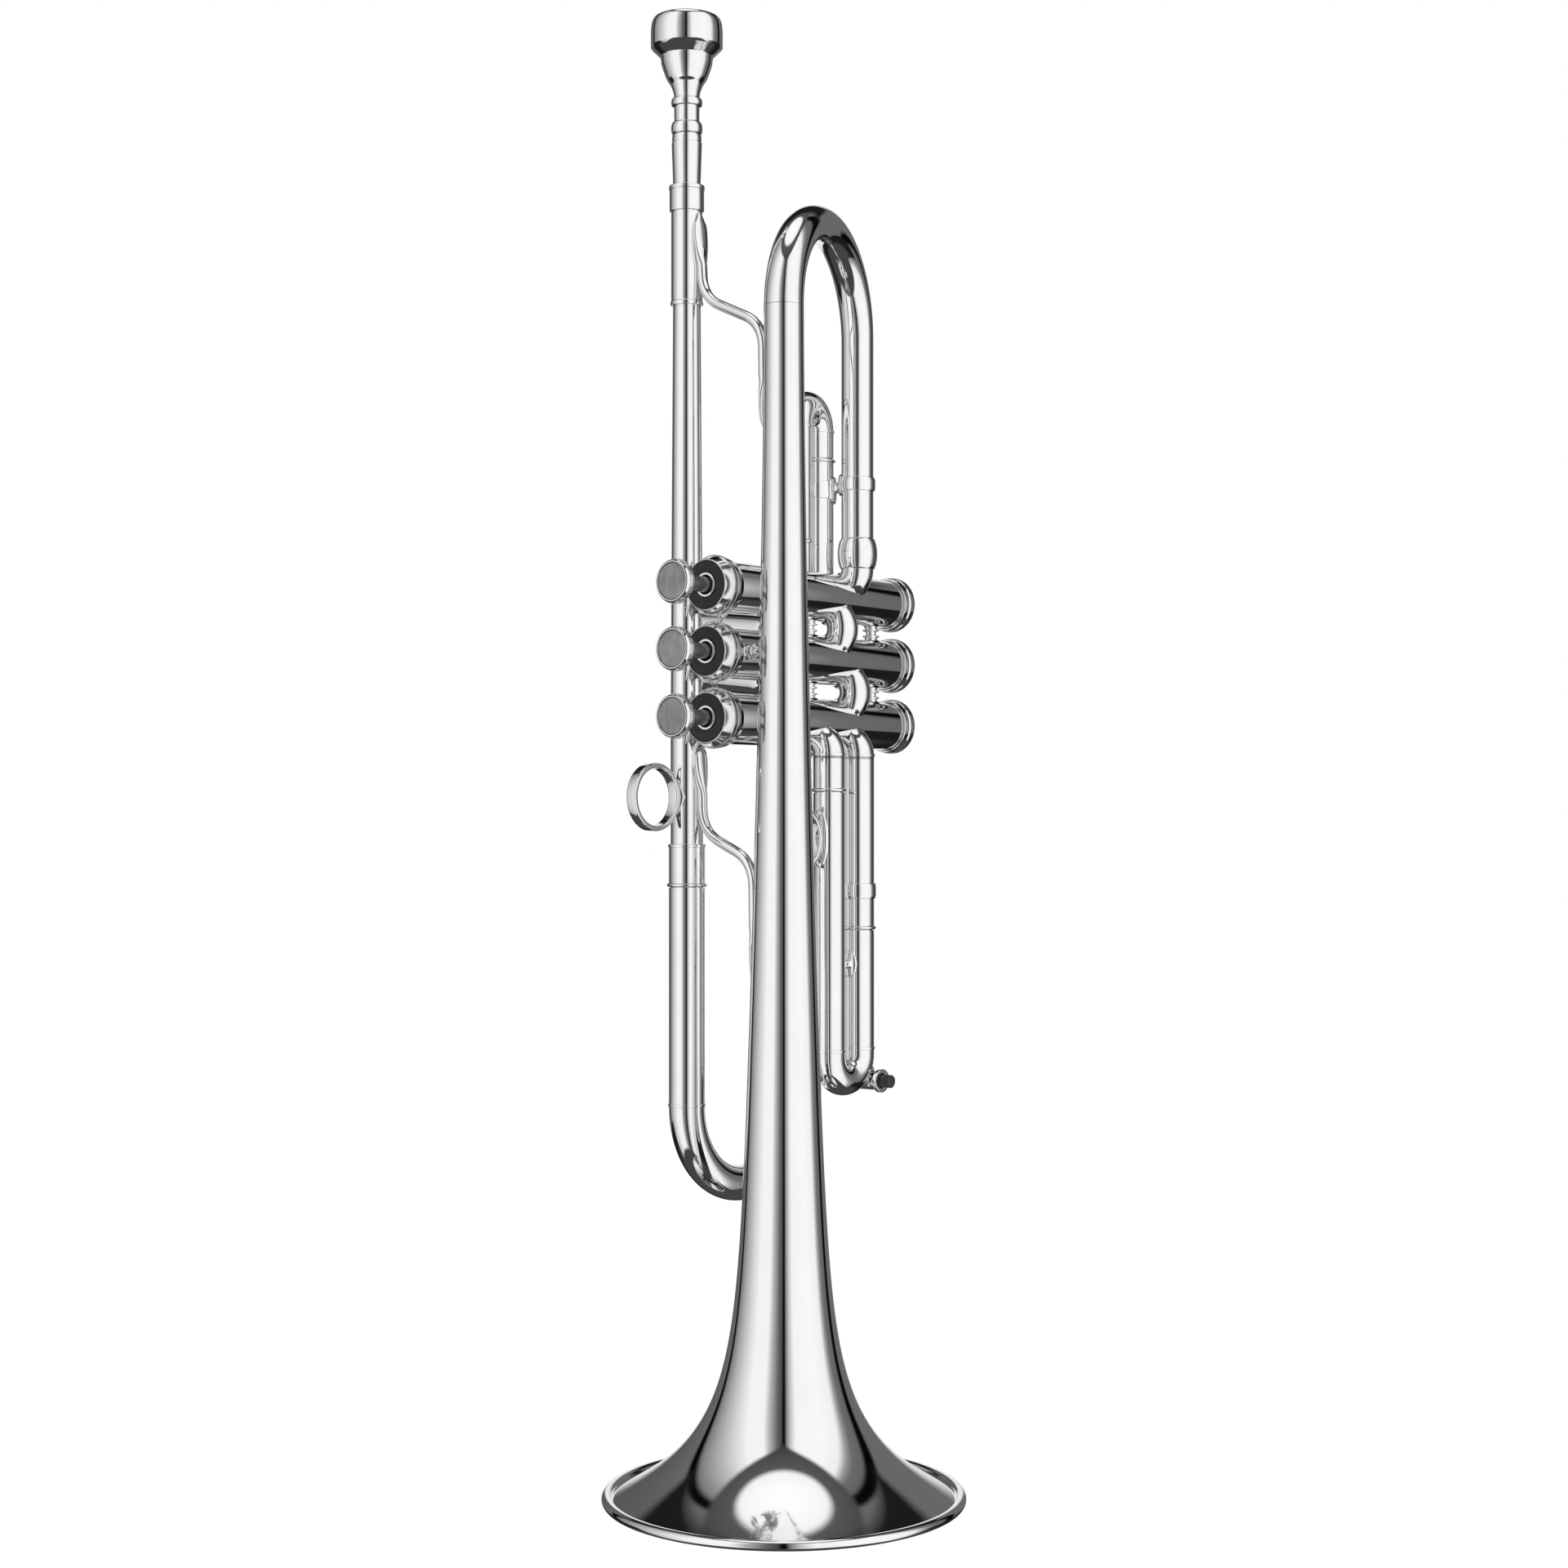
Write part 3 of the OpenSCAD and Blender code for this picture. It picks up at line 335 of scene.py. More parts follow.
def lathe(profile, origin, axis, sides=96, closed=False):
    up, side, other = frameOf(axis)
    origin = Vector(origin)
    points, faces = [], []
    for r, h in profile:
        for s in range(sides):
            a = 2 * math.pi * s / sides
            points.append(tuple(origin + up * h + (side * math.cos(a) + other * math.sin(a)) * r))
    rows = len(profile)
    for row in range(rows if closed else rows - 1):
        nextRow = (row + 1) % rows
        for s in range(sides):
            t = (s + 1) % sides
            faces.append([row * sides + s, row * sides + t, nextRow * sides + t, nextRow * sides + s])
    return points, faces


def tubeProfile(outer, inner, start, end, soft=0.2):
    return softened([(outer, start), (outer, end), (inner, end), (inner, start)], soft, closed=True)


def ringBead(r, z, bead=0.75, steps=14):
    return [(r + bead * math.cos(a), z + bead * math.sin(a))
            for a in (math.pi * 2 * k / steps for k in range(steps))]


def sweep(path, sizes, sides=48, wall=0.0, across=None):
    path = [Vector(p) for p in path]
    if not isinstance(sizes, list):
        sizes = [sizes] * len(path)
    sizes = [size if isinstance(size, tuple) else (size, size) for size in sizes]
    last = len(path) - 1
    tangent = (path[1] - path[0]).normalized()
    side = Vector(across) if across else tangent.orthogonal()
    outer, inner = [], []
    for k, here in enumerate(path):
        heading = (path[min(k + 1, last)] - path[max(k - 1, 0)]).normalized()
        side = (side - heading * side.dot(heading)).normalized()
        other = heading.cross(side)
        wide, thin = sizes[k]
        for s in range(sides):
            a = 2 * math.pi * s / sides
            outer.append(tuple(here + side * math.cos(a) * wide + other * math.sin(a) * thin))
            if wall:
                inside = side * math.cos(a) * (wide - wall) + other * math.sin(a) * (thin - wall)
                inner.append(tuple(here + inside))
    faces = []
    start = len(outer)
    for k in range(last):
        for s in range(sides):
            a, b = k * sides + s, k * sides + (s + 1) % sides
            faces.append([a, b, b + sides, a + sides])
            if wall:
                faces.append([start + b, start + a, start + a + sides, start + b + sides])
    end = last * sides
    if wall:
        for s in range(sides):
            t = (s + 1) % sides
            faces.append([t, s, start + s, start + t])
            faces.append([end + s, end + t, start + end + t, start + end + s])
    else:
        faces.append(list(range(sides))[::-1])
        faces.append([end + s for s in range(sides)])
    return outer + inner, faces


def arc(centre, first, second, radius, start, stop, steps=24):  # centre + radius (cos first + sin second)
    centre, first, second = Vector(centre), Vector(first), Vector(second)
    turns = [math.radians(start + (stop - start) * k / steps) for k in range(steps + 1)]
    return [centre + first * math.cos(a) * radius + second * math.sin(a) * radius for a in turns]


def roundedPath(corners, radius, steps=8):
    corners = [Vector(c) for c in corners]
    out = [corners[0]]
    for k in range(1, len(corners) - 1):
        a, b = corners[k - 1] - corners[k], corners[k + 1] - corners[k]
        reach = min(radius, 0.45 * a.length, 0.45 * b.length)
        start, end = corners[k] + a.normalized() * reach, corners[k] + b.normalized() * reach
        out += [start * (1 - t) ** 2 + corners[k] * 2 * t * (1 - t) + end * t ** 2
                for t in (s / steps for s in range(steps + 1))]
    return out + [corners[-1]]


def resampled(path, step):
    out = [Vector(path[0])]
    for a, b in zip(path, path[1:]):
        pieces = max(1, round((b - a).length / step))
        out += [a.lerp(b, k / pieces) for k in range(1, pieces + 1)]
    return out


def sunkPipe(x, y, outer, inner, low, high, steps=40):  # an upright pipe whose low end sinks into a casing
    near = min(high, low + 2 * casingR)
    heights = [low + (near - low) * k / steps for k in range(steps + 1)] + [high]
    profile = [(outer, h) for h in heights] + [(inner, h) for h in reversed(heights)]
    return sunkInCasings(lathe(profile, *upright(x, y), 72, True))


def sunkInCasings(part, skin=0.12):  # what reaches into a casing ends just under its skin
    points, faces = part
    out = []
    for x, y, z in points:
        for valveZ in valveZs:
            reach = math.hypot(x - valveX, z - valveZ)
            if reach < casingR - skin:
                k = (casingR - skin) / max(reach, 0.01)
                x, z = valveX + (x - valveX) * k, valveZ + (z - valveZ) * k
        out.append((x, y, z))
    return out, faces


def saddleFoot(origin, facing, up, tubeR, halfWidth, halfHeight, thick, power=2.0, steps=20):
    # a leaf of metal that wraps a tube: facing is the way its middle looks, up runs along the tube
    origin, facing, up = Vector(origin), Vector(facing).normalized(), Vector(up).normalized()
    side = up.cross(facing)
    row = steps + 1
    back = row * row
    points, faces = [], []
    for isBack in (False, True):  # the back, a little under the tube's skin, closes the leaf
        for i in range(row):
            for j in range(row):
                u, v = 2 * i / steps - 1, 2 * j / steps - 1
                rim = max(0.0, 1 - abs(v) ** power) ** (1 / power)
                lift = thick * max(0.0, 1 - u * u) ** 0.5 * (0.25 + 0.75 * rim) - 0.05
                a = u * rim * halfWidth / tubeR
                r = tubeR - 0.25 if isBack else tubeR + lift
                around = facing * math.cos(a) * r + side * math.sin(a) * r
                points.append(tuple(origin + up * v * halfHeight + around))
        for i in range(steps):
            for j in range(steps):
                a = i * row + j
                face = [a, a + row, a + row + 1, a + 1]
                faces.append([back + k for k in reversed(face)] if isBack else face)
    edge = [i * row for i in range(row)] + [steps * row + j for j in range(1, row)]
    edge += [i * row + steps for i in range(steps - 1, -1, -1)] + list(range(steps - 1, 0, -1))
    for k, a in enumerate(edge):
        b = edge[(k + 1) % len(edge)]
        faces.append([b, a, back + a, back + b])
    return points, faces


def silverPiece(name, parts, body, nodes, angle=smooth):
    return finishMesh(name, joined(name, parts), body, silver, nodes, angle)


def upright(x, y):
    return (x, y, 0), (0, 0, 1)


def valveAxis(n):
    return (valveX, 0, valveZs[n]), (0, -1, 0)


# Geometry Nodes
def newTree(name, inputs):  # an input for each value, whole or not as the value is
    tree = bpy.data.node_groups.new(name, "GeometryNodeTree")
    tree.interface.new_socket("Geometry", in_out="OUTPUT", socket_type="NodeSocketGeometry")
    for label, value in inputs.items():
        kind = "NodeSocketInt" if isinstance(value, int) else "NodeSocketFloat"
        tree.interface.new_socket(label, in_out="INPUT", socket_type=kind)
    entry = tree.nodes.new("NodeGroupInput")
    return tree, {label: Wire(tree, entry.outputs[label]) for label in inputs}


def runTree(tree, shape, values):  # the tree's result as a plain mesh
    last = addNode(tree, "GeometryNodeRealizeInstances", values={"Geometry": shape})
    last = addNode(tree, "GeometryNodeSetMaterial", values={"Geometry": last, "Material": silver})
    plug(tree, last, tree.nodes.new("NodeGroupOutput").inputs[0])
    holder = bpy.data.objects.new(tree.name, bpy.data.meshes.new(tree.name))
    bpy.context.scene.collection.objects.link(holder)
    modifier = holder.modifiers.new("nodes", "NODES")
    modifier.node_group = tree
    for item in tree.interface.items_tree:
        if item.in_out == "INPUT":
            modifier[item.identifier] = values[item.name]
    depsgraph = bpy.context.evaluated_depsgraph_get()
    mesh = bpy.data.meshes.new_from_object(holder.evaluated_get(depsgraph))
    holder.modifiers.remove(modifier)
    bpy.data.objects.remove(holder)
    return mesh


bellLook = {
    "beadDiameter": 3.8, "wall": 0.5, "flareShort": 17.8, "flareLong": 30.4, "flareShare": 0.705,
    "taper": 11.5, "taperPower": 1.56, "tail": 7.2, "rows": 360, "sides": 256, "crowding": 2.2,
}


def bellCurve(z):
    look = bellLook
    fall = look["flareShare"] * math.exp(-z / look["flareShort"])
    fall += (1 - look["flareShare"]) * math.exp(-z / look["flareLong"])
    return fall


def makeBell():
    look = bellLook
    beadR = mouthR - look["beadDiameter"] / 2
    beadZ = look["beadDiameter"] / 2 - 0.3
    flare = (beadR - 1.2 - look["tail"] - look["taper"]) / bellCurve(beadZ)
    values = {
        "Start": beadZ, "Length": bowStart, "Tail": look["tail"], "Taper": look["taper"],
        "Taper power": look["taperPower"], "Flare": flare, "Short": look["flareShort"],
        "Long": look["flareLong"], "Share": look["flareShare"], "Wall": look["wall"],
        "Crowding": look["crowding"], "Rows": look["rows"], "Sides": look["sides"]}
    tree, wire = newTree("bellFlare", values)
    grid = addNode(tree, "GeometryNodeMeshGrid", values={
        "Size X": 1.0, "Size Y": 1.0, "Vertices X": wire["Rows"], "Vertices Y": wire["Sides"]})
    spot = addNode(tree, "GeometryNodeInputPosition")
    parts = tree.nodes.new("ShaderNodeSeparateXYZ")
    plug(tree, spot, parts.inputs[0])
    along = Wire(tree, parts.outputs[0])
    turn = (Wire(tree, parts.outputs[1]) + 0.5) * (2 * math.pi)
    fold = 1.0 - (along * 2.0).math("ABSOLUTE")  # 0 at the rim on both faces, nearly 1 at the tail
    share = (fold / (1.0 - 1.0 / (wire["Rows"] - 1.0))).math("MINIMUM", 1.0)
    z = wire["Start"] + (wire["Length"] - wire["Start"]) * share ** wire["Crowding"]
    taper = wire["Taper"] * (1.0 - z / wire["Length"]).math("MAXIMUM", 0.0) ** wire["Taper power"]
    short = (z / wire["Short"] * -1.0).math("EXPONENT") * wire["Share"]
    long = (z / wire["Long"] * -1.0).math("EXPONENT") * (1.0 - wire["Share"])
    r = wire["Tail"] + taper + wire["Flare"] * (short + long) - wire["Wall"] * (along > 0.0)
    place = addNode(tree, "ShaderNodeCombineXYZ", values={
        "X": r * turn.math("COSINE") * mm, "Y": r * turn.math("SINE") * mm, "Z": z * mm})
    moved = addNode(tree, "GeometryNodeSetPosition", values={"Geometry": grid, "Position": place})
    merged = addNode(tree, "GeometryNodeMergeByDistance", values={"Geometry": moved, "Distance": 1e-6})
    mesh = runTree(tree, merged, values)
    outwards(mesh)
    finishMesh("bellFlare", mesh, "horn", silver, ["bell"])
    half = look["beadDiameter"] / 2
    ring = [(beadR + half * math.cos(a), max(0.0, beadZ + half * math.sin(a)))
            for a in (2 * math.pi * k / 40 for k in range(40))]
    silverPiece("rimBead", [lathe(ring, *upright(0, 0), 256, True)], "horn", ["rim_wire"], 60)


def outwards(mesh):
    work = bmesh.new()
    work.from_mesh(mesh)
    bmesh.ops.remove_doubles(work, verts=work.verts, dist=1e-6)
    holes = [e for e in work.edges if len(e.link_faces) == 1]
    if holes:
        bmesh.ops.bridge_loops(work, edges=holes)
    bmesh.ops.recalc_face_normals(work, faces=work.faces)
    work.to_mesh(mesh)
    work.free()


def knurl(origin, axis, radius, width, count, depth, tooth=0.62):  # a band of fine teeth round an axis
    step = 2 * math.pi / count
    values = {"Count": count, "Radius": radius, "Width": width, "Depth": depth, "Tooth": tooth * step * radius}
    tree, wire = newTree("knurlBand", values)
    circle = addNode(tree, "GeometryNodeMeshCircle", values={
        "Vertices": wire["Count"], "Radius": wire["Radius"]})
    size = addNode(tree, "ShaderNodeCombineXYZ", values={
        "X": wire["Depth"], "Y": wire["Tooth"], "Z": wire["Width"]})
    block = addNode(tree, "GeometryNodeMeshCube", values={"Size": size})
    turn = addNode(tree, "GeometryNodeInputIndex") * (2 * math.pi) / wire["Count"]
    way = addNode(tree, "ShaderNodeCombineXYZ", values={"Z": turn})
    teeth = addNode(tree, "GeometryNodeInstanceOnPoints", values={
        "Points": circle, "Instance": block, "Rotation": way})
    mesh = runTree(tree, teeth, values)
    up, side, other = frameOf(axis)
    origin = Vector(origin)
    points = []
    for v in mesh.vertices:
        out = math.hypot(v.co.x, v.co.y)
        if out > radius:  # narrow the outer edge, so that each tooth is a wedge
            around = math.atan2(v.co.y, v.co.x)
            nearest = round(around / step) * step
            around = nearest + (around - nearest) * 0.35
            x, y = out * math.cos(around), out * math.sin(around)
        else:
            x, y = v.co.x, v.co.y
        points.append(tuple(origin + side * x + other * y + up * v.co.z))
    return points, [list(face.vertices) for face in mesh.polygons]


makeBell()
print("bell made")

bowLook = {"steps": 72, "sides": 96, "tail": 7.2, "swell": 1.25}


def makeBow():
    start, end = Vector((0, 0, bowStart)), Vector((branchX, branchY, bowStart))
    middle, out = (start + end) / 2, (start - end).normalized()
    steps = bowLook["steps"]
    path = arc(middle, out, (0, 0, 1), (end - start).length / 2, 0, 180, steps)
    sizes = [bowLook["tail"] + (sleeveR - bowLook["tail"]) * k / steps for k in range(steps + 1)]
    path.append(Vector((branchX, branchY, ferruleHigh[2] - 1)))
    sizes.append(sleeveR)
    silverPiece("bellBow", [sweep(path, sizes, bowLook["sides"], tubeWall)], "horn", ["bell_bow"])
    tall = ferruleHigh[2] - ferruleLow[2]
    side = [(sleeveR + 0.25 + bowLook["swell"] * (1 - (2 * k / 20 - 1) ** 2) ** 0.8, tall * k / 20)
            for k in range(21)]
    profile = [(sleeveR - 0.4, 0)] + side + [(sleeveR - 0.4, tall)]
    silverPiece("bellFerrule", [lathe(softened(profile, 0.2), (branchX, branchY, ferruleLow[2]), (0, 0, 1))],
                "horn", ["bell_ferrule"])


kneeBend = sleeveR + 0.2


def elbow(x, y, z, up, overlap=1.5):  # from an upright tube's end into the near side of a valve
    path = [Vector((x, y, z + up * overlap))]
    path += arc((x - kneeBend, y, z), (1, 0, 0), (0, 0, -up), kneeBend, 0, 95, 28)
    return sunkInCasings(sweep(path, sleeveR, 72))


def makeValveTubes():
    silverPiece("bellKnuckle", [elbow(branchX, branchY, ferruleLow[2], 1)], "horn", ["bell_knuckle"], 50)
    humps = []
    crossLow, crossHigh = boxOf("valve_crossovers")
    radius, bend = sleeveR - 0.2, 7.6
    for n, y in enumerate((crossLow[1] + radius, crossHigh[1] - radius)):
        centre = (crossHigh[0] - radius - bend, y, (valveZs[n] + valveZs[n + 1]) / 2)
        path = arc(centre, (1, 0, 0), (0, 0, 1), bend, -92, 92, 40)
        humps.append(sunkInCasings(sweep(path, radius, 72)))
    silverPiece("valveCrossovers", humps, "horn", ["valve_crossovers"], 50)


casingLook = {"bore": 8.39, "edge": 0.3}


def makeCasings():
    for n in range(3):
        start, end = -casingY[1], -casingY[0]
        profile = tubeProfile(casingR, casingLook["bore"], start, end, casingLook["edge"])
        silverPiece(f"valveCasing{n + 1}", [lathe(profile, *valveAxis(n), 128, True)], "horn",
                    [f"valve_casing_{n + 1}"])


capLook = {
    "band": 11.2, "teeth": 104, "feltOuter": 8.85, "bushing": 4.55, "bushingBore": 3.5, "depth": 0.55,
    "proud": 0.4,  # how far the bushing stands out of the face
}


def makeCaps():
    look = capLook
    band, feltOuter, bushing, proud = look["band"], look["feltOuter"], look["bushing"], look["proud"]
    felts = []
    for n in range(3):
        low, high = boxOf(f"top_cap_{n + 1}")
        face = -low[1] - proud
        skirt = -high[1]
        profile = softened([
            (casingR + 0.05, skirt), (band - 0.9, skirt), (band - 0.6, skirt + 1.9), (band - 0.45, skirt + 2.1),
            (band - 0.45, skirt + 3.6), (band - 0.8, skirt + 3.75), (band - 0.35, skirt + 4.0),
            (band - 0.35, skirt + 5.8), (band - 0.7, skirt + 6.1), (band - 1.9, face - 0.15),
            (band - 2.15, face), (feltOuter + 0.1, face), (feltOuter + 0.1, face - 1.4),
            (bushing - 0.1, face - 1.4), (bushing - 0.1, face + proud), (look["bushingBore"], face + proud),
            (look["bushingBore"], face - 2.9), (casingR - 0.7, face - 2.9), (casingR - 0.7, skirt + 3.6),
            (casingR + 0.05, skirt + 3.6)], 0.28, closed=True)
        teeth = knurl((valveX, -(skirt + 4.9), valveZs[n]), (0, -1, 0), band - 0.35, 1.7, look["teeth"],
                      look["depth"])
        silverPiece(f"topCap{n + 1}", [lathe(profile, *valveAxis(n), 128, True), teeth], "horn",
                    [f"top_cap_{n + 1}"])
        profile = softened([(bushing, face - 1.4), (bushing, face - 0.35), (feltOuter, face - 0.35),
                            (feltOuter, face - 1.4)], 0.35, closed=True)
        felts.append(lathe(profile, *valveAxis(n), 128, True))
        low, high = boxOf(f"bottom_cap_{n + 1}")
        end, lip = -high[1], -low[1]
        wide = (high[0] - low[0]) / 2
        profile = softened([
            (2, end), (wide - 1.6, end), (wide - 0.5, end + 0.8), (wide - 0.2, end + 1.3),
            (wide - 0.2, lip - 3.1), (wide - 0.5, lip - 2.7), (wide - 0.5, lip), (casingR + 0.05, lip),
            (casingR + 0.05, end + 5),
            (casingR - 1.6, end + 5), (casingR - 1.6, end + 1.6), (2, end + 1.6)], 0.3, closed=True)
        teeth = knurl((valveX, -(end + 2.7), valveZs[n]), (0, -1, 0), wide - 0.2, 2.0, look["teeth"], 0.4)
        silverPiece(f"bottomCap{n + 1}", [lathe(profile, *valveAxis(n), 128, True), teeth], "horn",
                    [f"bottom_cap_{n + 1}"])
    finishMesh("capFelts", joined("capFelts", felts), "horn", felt, ["cap_felts"])


buttonLook = {"teeth": 76, "rim": 6.6, "pearl": 6.45, "dome": 0.35, "depth": 0.42}


def makeButtons():
    look = buttonLook
    for n in range(3):
        low, high = boxOf(f"finger_button_{n + 1}")
        face, under = -low[1], -high[1]
        r = (high[0] - low[0]) / 2
        body = f"valve_{n + 1}"
        profile = softened([
            (0.01, under), (r - 2.8, under), (r - 0.9, under + 1.0), (r - 0.25, under + 1.6),
            (r - 0.25, face - 1.3), (r - 0.45, face - 0.5), (r - 1.0, face), (look["rim"] + 0.1, face - 0.15),
            (look["rim"], face - 1.5), (0.01, face - 1.5)], 0.3)
        teeth = knurl((valveX, -(face + under - 0.1) / 2, valveZs[n]), (0, -1, 0), r - 0.25,
                      face - under - 3.1, look["teeth"], look["depth"])
        silverPiece(f"fingerButton{n + 1}", [lathe(profile, *valveAxis(n), 128), teeth], body,
                    [f"finger_button_{n + 1}"])
        top = face - 0.45
        dome = [(look["pearl"] * math.sin(a), top + look["dome"] * math.cos(a))
                for a in (math.pi / 2 * k / 12 for k in range(13))]
        profile = [(max(0.01, x), h) for x, h in dome] + [(look["pearl"], face - 1.45), (0.01, face - 1.45)]
        finishMesh(f"buttonPearl{n + 1}", joined("pearl", [lathe(profile, *valveAxis(n), 96)]), body,
                   pearl, [f"button_pearl_{n + 1}"])
        stemLow, stemHigh = boxOf(f"valve_stem_{n + 1}")
        stemR = (stemHigh[0] - stemLow[0]) / 2
        profile = softened([
            (0.01, -stemHigh[1]), (stemR, -stemHigh[1]), (stemR, under - 1.2), (stemR + 0.5, under - 0.7),
            (stemR + 0.5, under + 0.2), (0.01, under + 0.2)], 0.25)
        finishMesh(f"valveStem{n + 1}", joined("stem", [lathe(profile, *valveAxis(n), 64)]), body,
                   stemSteel, [f"valve_stem_{n + 1}"])


springLook = {"radius": 5.6, "wire": 0.35, "turns": 7, "steps": 36, "stroke": 13.0}


def makeSprings():
    look = springLook
    for n in range(3):
        low, high = boxOf(f"valve_spring_{n + 1}")
        rise = high[1] - low[1] - 2 * look["wire"]
        count = look["turns"] * look["steps"]
        path = []
        for k in range(count + 1):
            a = 2 * math.pi * k / look["steps"]
            path.append((valveX + look["radius"] * math.cos(a), high[1] - look["wire"] - rise * k / count,
                         valveZs[n] + look["radius"] * math.sin(a)))
        coil = finishMesh(f"valveSpring{n + 1}", joined("spring", [sweep(path, look["wire"], 8)]), "horn",
                          springSteel, [f"valve_spring_{n + 1}"])
        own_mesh(coil)


makeBow()
makeValveTubes()
makeCasings()
makeCaps()
makeButtons()
makeSprings()
print("valves made")

slideLook = {"bead": 0.75, "line": 0.3, "lineHeight": 1.1, "sides": 72, "wall": 0.45}


def beadAt(x, y, z, r=sleeveR):
    return lathe(ringBead(r, z, slideLook["bead"]), *upright(x, y), slideLook["sides"], True)


def lineAt(x, y, z, r=sleeveR, axis=(0, 0, 1)):
    tall, out = slideLook["lineHeight"], slideLook["line"]
    profile = softened([(r - 0.1, -tall / 2), (r + out, -tall / 2), (r + out, tall / 2), (r - 0.1, tall / 2)],
                       0.25, closed=True)
    return lathe(profile, (x, y, z), axis, slideLook["sides"], True)


def pipeAt(x, y, outer, inner, low, high):
    return lathe(tubeProfile(outer, inner, low, high), *upright(x, y), slideLook["sides"], True)


thirdX, thirdLow, thirdHigh = middleOf("third_slide")[0], *boxOf("third_slide")
thirdFixedLow = boxOf("third_slide_sleeves")[0]
thirdA = thirdLow[1] + sleeveR + 0.35
thirdB = thirdHigh[1] - sleeveR - 0.35
thirdBow = thirdLow[2] + sleeveR + (thirdB - thirdA) / 2
thirdLine = thirdBow + 2.4
thirdKnuckle = valveZs[2] - 12.2
thirdBeadA = thirdKnuckle - 14.2
thirdBeadB = thirdKnuckle - 66.6


def makeThirdSlide():
    fixed = [elbow(thirdX, y, thirdKnuckle, -1) for y in (thirdA, thirdB)]
    fixed += [lineAt(thirdX, y, thirdKnuckle) for y in (thirdA, thirdB)]
    fixed += [pipeAt(thirdX, thirdA, sleeveR, innerBore, thirdBeadA, thirdKnuckle + 0.4),
              pipeAt(thirdX, thirdA, innerR, innerBore, thirdFixedLow[2], thirdBeadA + 1),
              pipeAt(thirdX, thirdB, sleeveR, boreR, thirdBeadB, thirdKnuckle + 0.4),
              beadAt(thirdX, thirdA, thirdBeadA + 0.75), beadAt(thirdX, thirdB, thirdBeadB + 0.75)]
    silverPiece("thirdSlideSleeves", fixed, "horn", ["third_slide_sleeves"], 50)
    centre = (thirdX, (thirdA + thirdB) / 2, thirdBow)
    bow = [Vector((thirdX, thirdB, thirdBeadB - 0.3))]
    bow += arc(centre, (0, 1, 0), (0, 0, -1), (thirdB - thirdA) / 2, 0, 180, 40)
    bow += [Vector((thirdX, thirdA, thirdBeadA - 0.3))]
    post = thirdBeadB - 13
    moving = [sweep(bow, sleeveR, slideLook["sides"], slideLook["wall"]),
              lineAt(thirdX, thirdA, thirdLine), lineAt(thirdX, thirdB, thirdLine),
              pipeAt(thirdX, thirdB, innerR, innerBore, thirdBow, thirdHigh[2])]
    waist = softened([(2.6, 0), (1.7, 1.6), (1.5, 3), (1.7, 4.4), (2.6, 6)], 0.8)
    gap = thirdB - thirdA - 2 * sleeveR
    profile = [(r, h * (gap + 1.2) / 6) for r, h in waist]
    moving.append(lathe(profile, (thirdX, thirdA + sleeveR - 0.6, post), (0, 1, 0), 48))
    for y, way in ((thirdA, 1), (thirdB, -1)):
        moving.append(saddleFoot((thirdX, y, post), (0, way, 0), (0, 0, 1), sleeveR, 3.6, 5.2, 0.7))
    silverPiece("thirdSlide", moving, "third_slide", ["third_slide"], 50)


firstLow, firstHigh = boxOf("first_slide")
firstPitch, firstTurn = 16.8, math.radians(100.3)
firstSides = Vector((math.cos(firstTurn), math.sin(firstTurn), 0))
firstP = Vector((firstHigh[0] - sleeveR - 0.35, firstLow[1] + sleeveR + 0.35, 0))
firstQ = firstP + firstSides * firstPitch
firstBeadP, firstBeadQ, firstLine = valveZs[0] + 21, valveZs[0] + 53.6, valveZs[0] + 64.1


def makeFirstSlide():
    base = valveZs[0]
    fixed = [sunkPipe(firstP.x, firstP.y, sleeveR, innerBore, base, firstBeadP),
             pipeAt(firstP.x, firstP.y, innerR, innerBore, firstBeadP - 4, firstLine - 6),
             sunkPipe(firstQ.x, firstQ.y, sleeveR, boreR, base, firstBeadQ),
             beadAt(firstP.x, firstP.y, firstBeadP - 0.75), beadAt(firstQ.x, firstQ.y, firstBeadQ - 0.75)]
    silverPiece("firstSlideSleeves", fixed, "horn", ["first_slide_sleeves"], 50)
    middle = (firstP + firstQ) / 2 + Vector((0, 0, firstLine))
    bow = [firstQ + Vector((0, 0, firstBeadQ + 0.3))]
    bow += arc(middle, firstSides, (0, 0, 1), firstPitch / 2, 0, 180, 40)
    bow += [firstP + Vector((0, 0, firstBeadP + 0.3))]
    moving = [sweep(bow, sleeveR, slideLook["sides"], slideLook["wall"]),
              lineAt(firstP.x, firstP.y, firstLine), lineAt(firstQ.x, firstQ.y, firstLine),
              pipeAt(firstQ.x, firstQ.y, innerR, innerBore, firstBeadQ - 38, firstLine)]
    silverPiece("firstSlide", moving, "first_slide", ["first_slide"], 50)
    # the thumb saddle is a strip bent to a U, standing on a leaf-shaped foot
    low, high = boxOf("thumb_saddle")
    z, half = (low[2] + high[2]) / 2, (high[2] - low[2]) / 2 - 0.8
    back = firstP.y - sleeveR - 1.0
    front = low[1] + 1.2
    corners = [(front, z - half), (back, z - half), (back, z + half), (front, z + half)]
    strip = roundedPath([(firstP.x, *corner) for corner in corners], 5.5, 12)
    sizes = [(3.4, 0.8)] * len(strip)
    sizes[0] = sizes[-1] = (2.6, 0.55)
    foot = saddleFoot((firstP.x, firstP.y, z), (0, -1, 0), (0, 0, 1), sleeveR, 4.6, 8.0, 0.9)
    silverPiece("thumbSaddle", [sweep(strip, sizes, 32, across=(1, 0, 0)), foot], "first_slide",
                ["thumb_saddle"])


secondLook = {"tilt": 6.0, "pitch": 18.0, "reach": 24.0, "bow": 36.0, "y": 34.0}


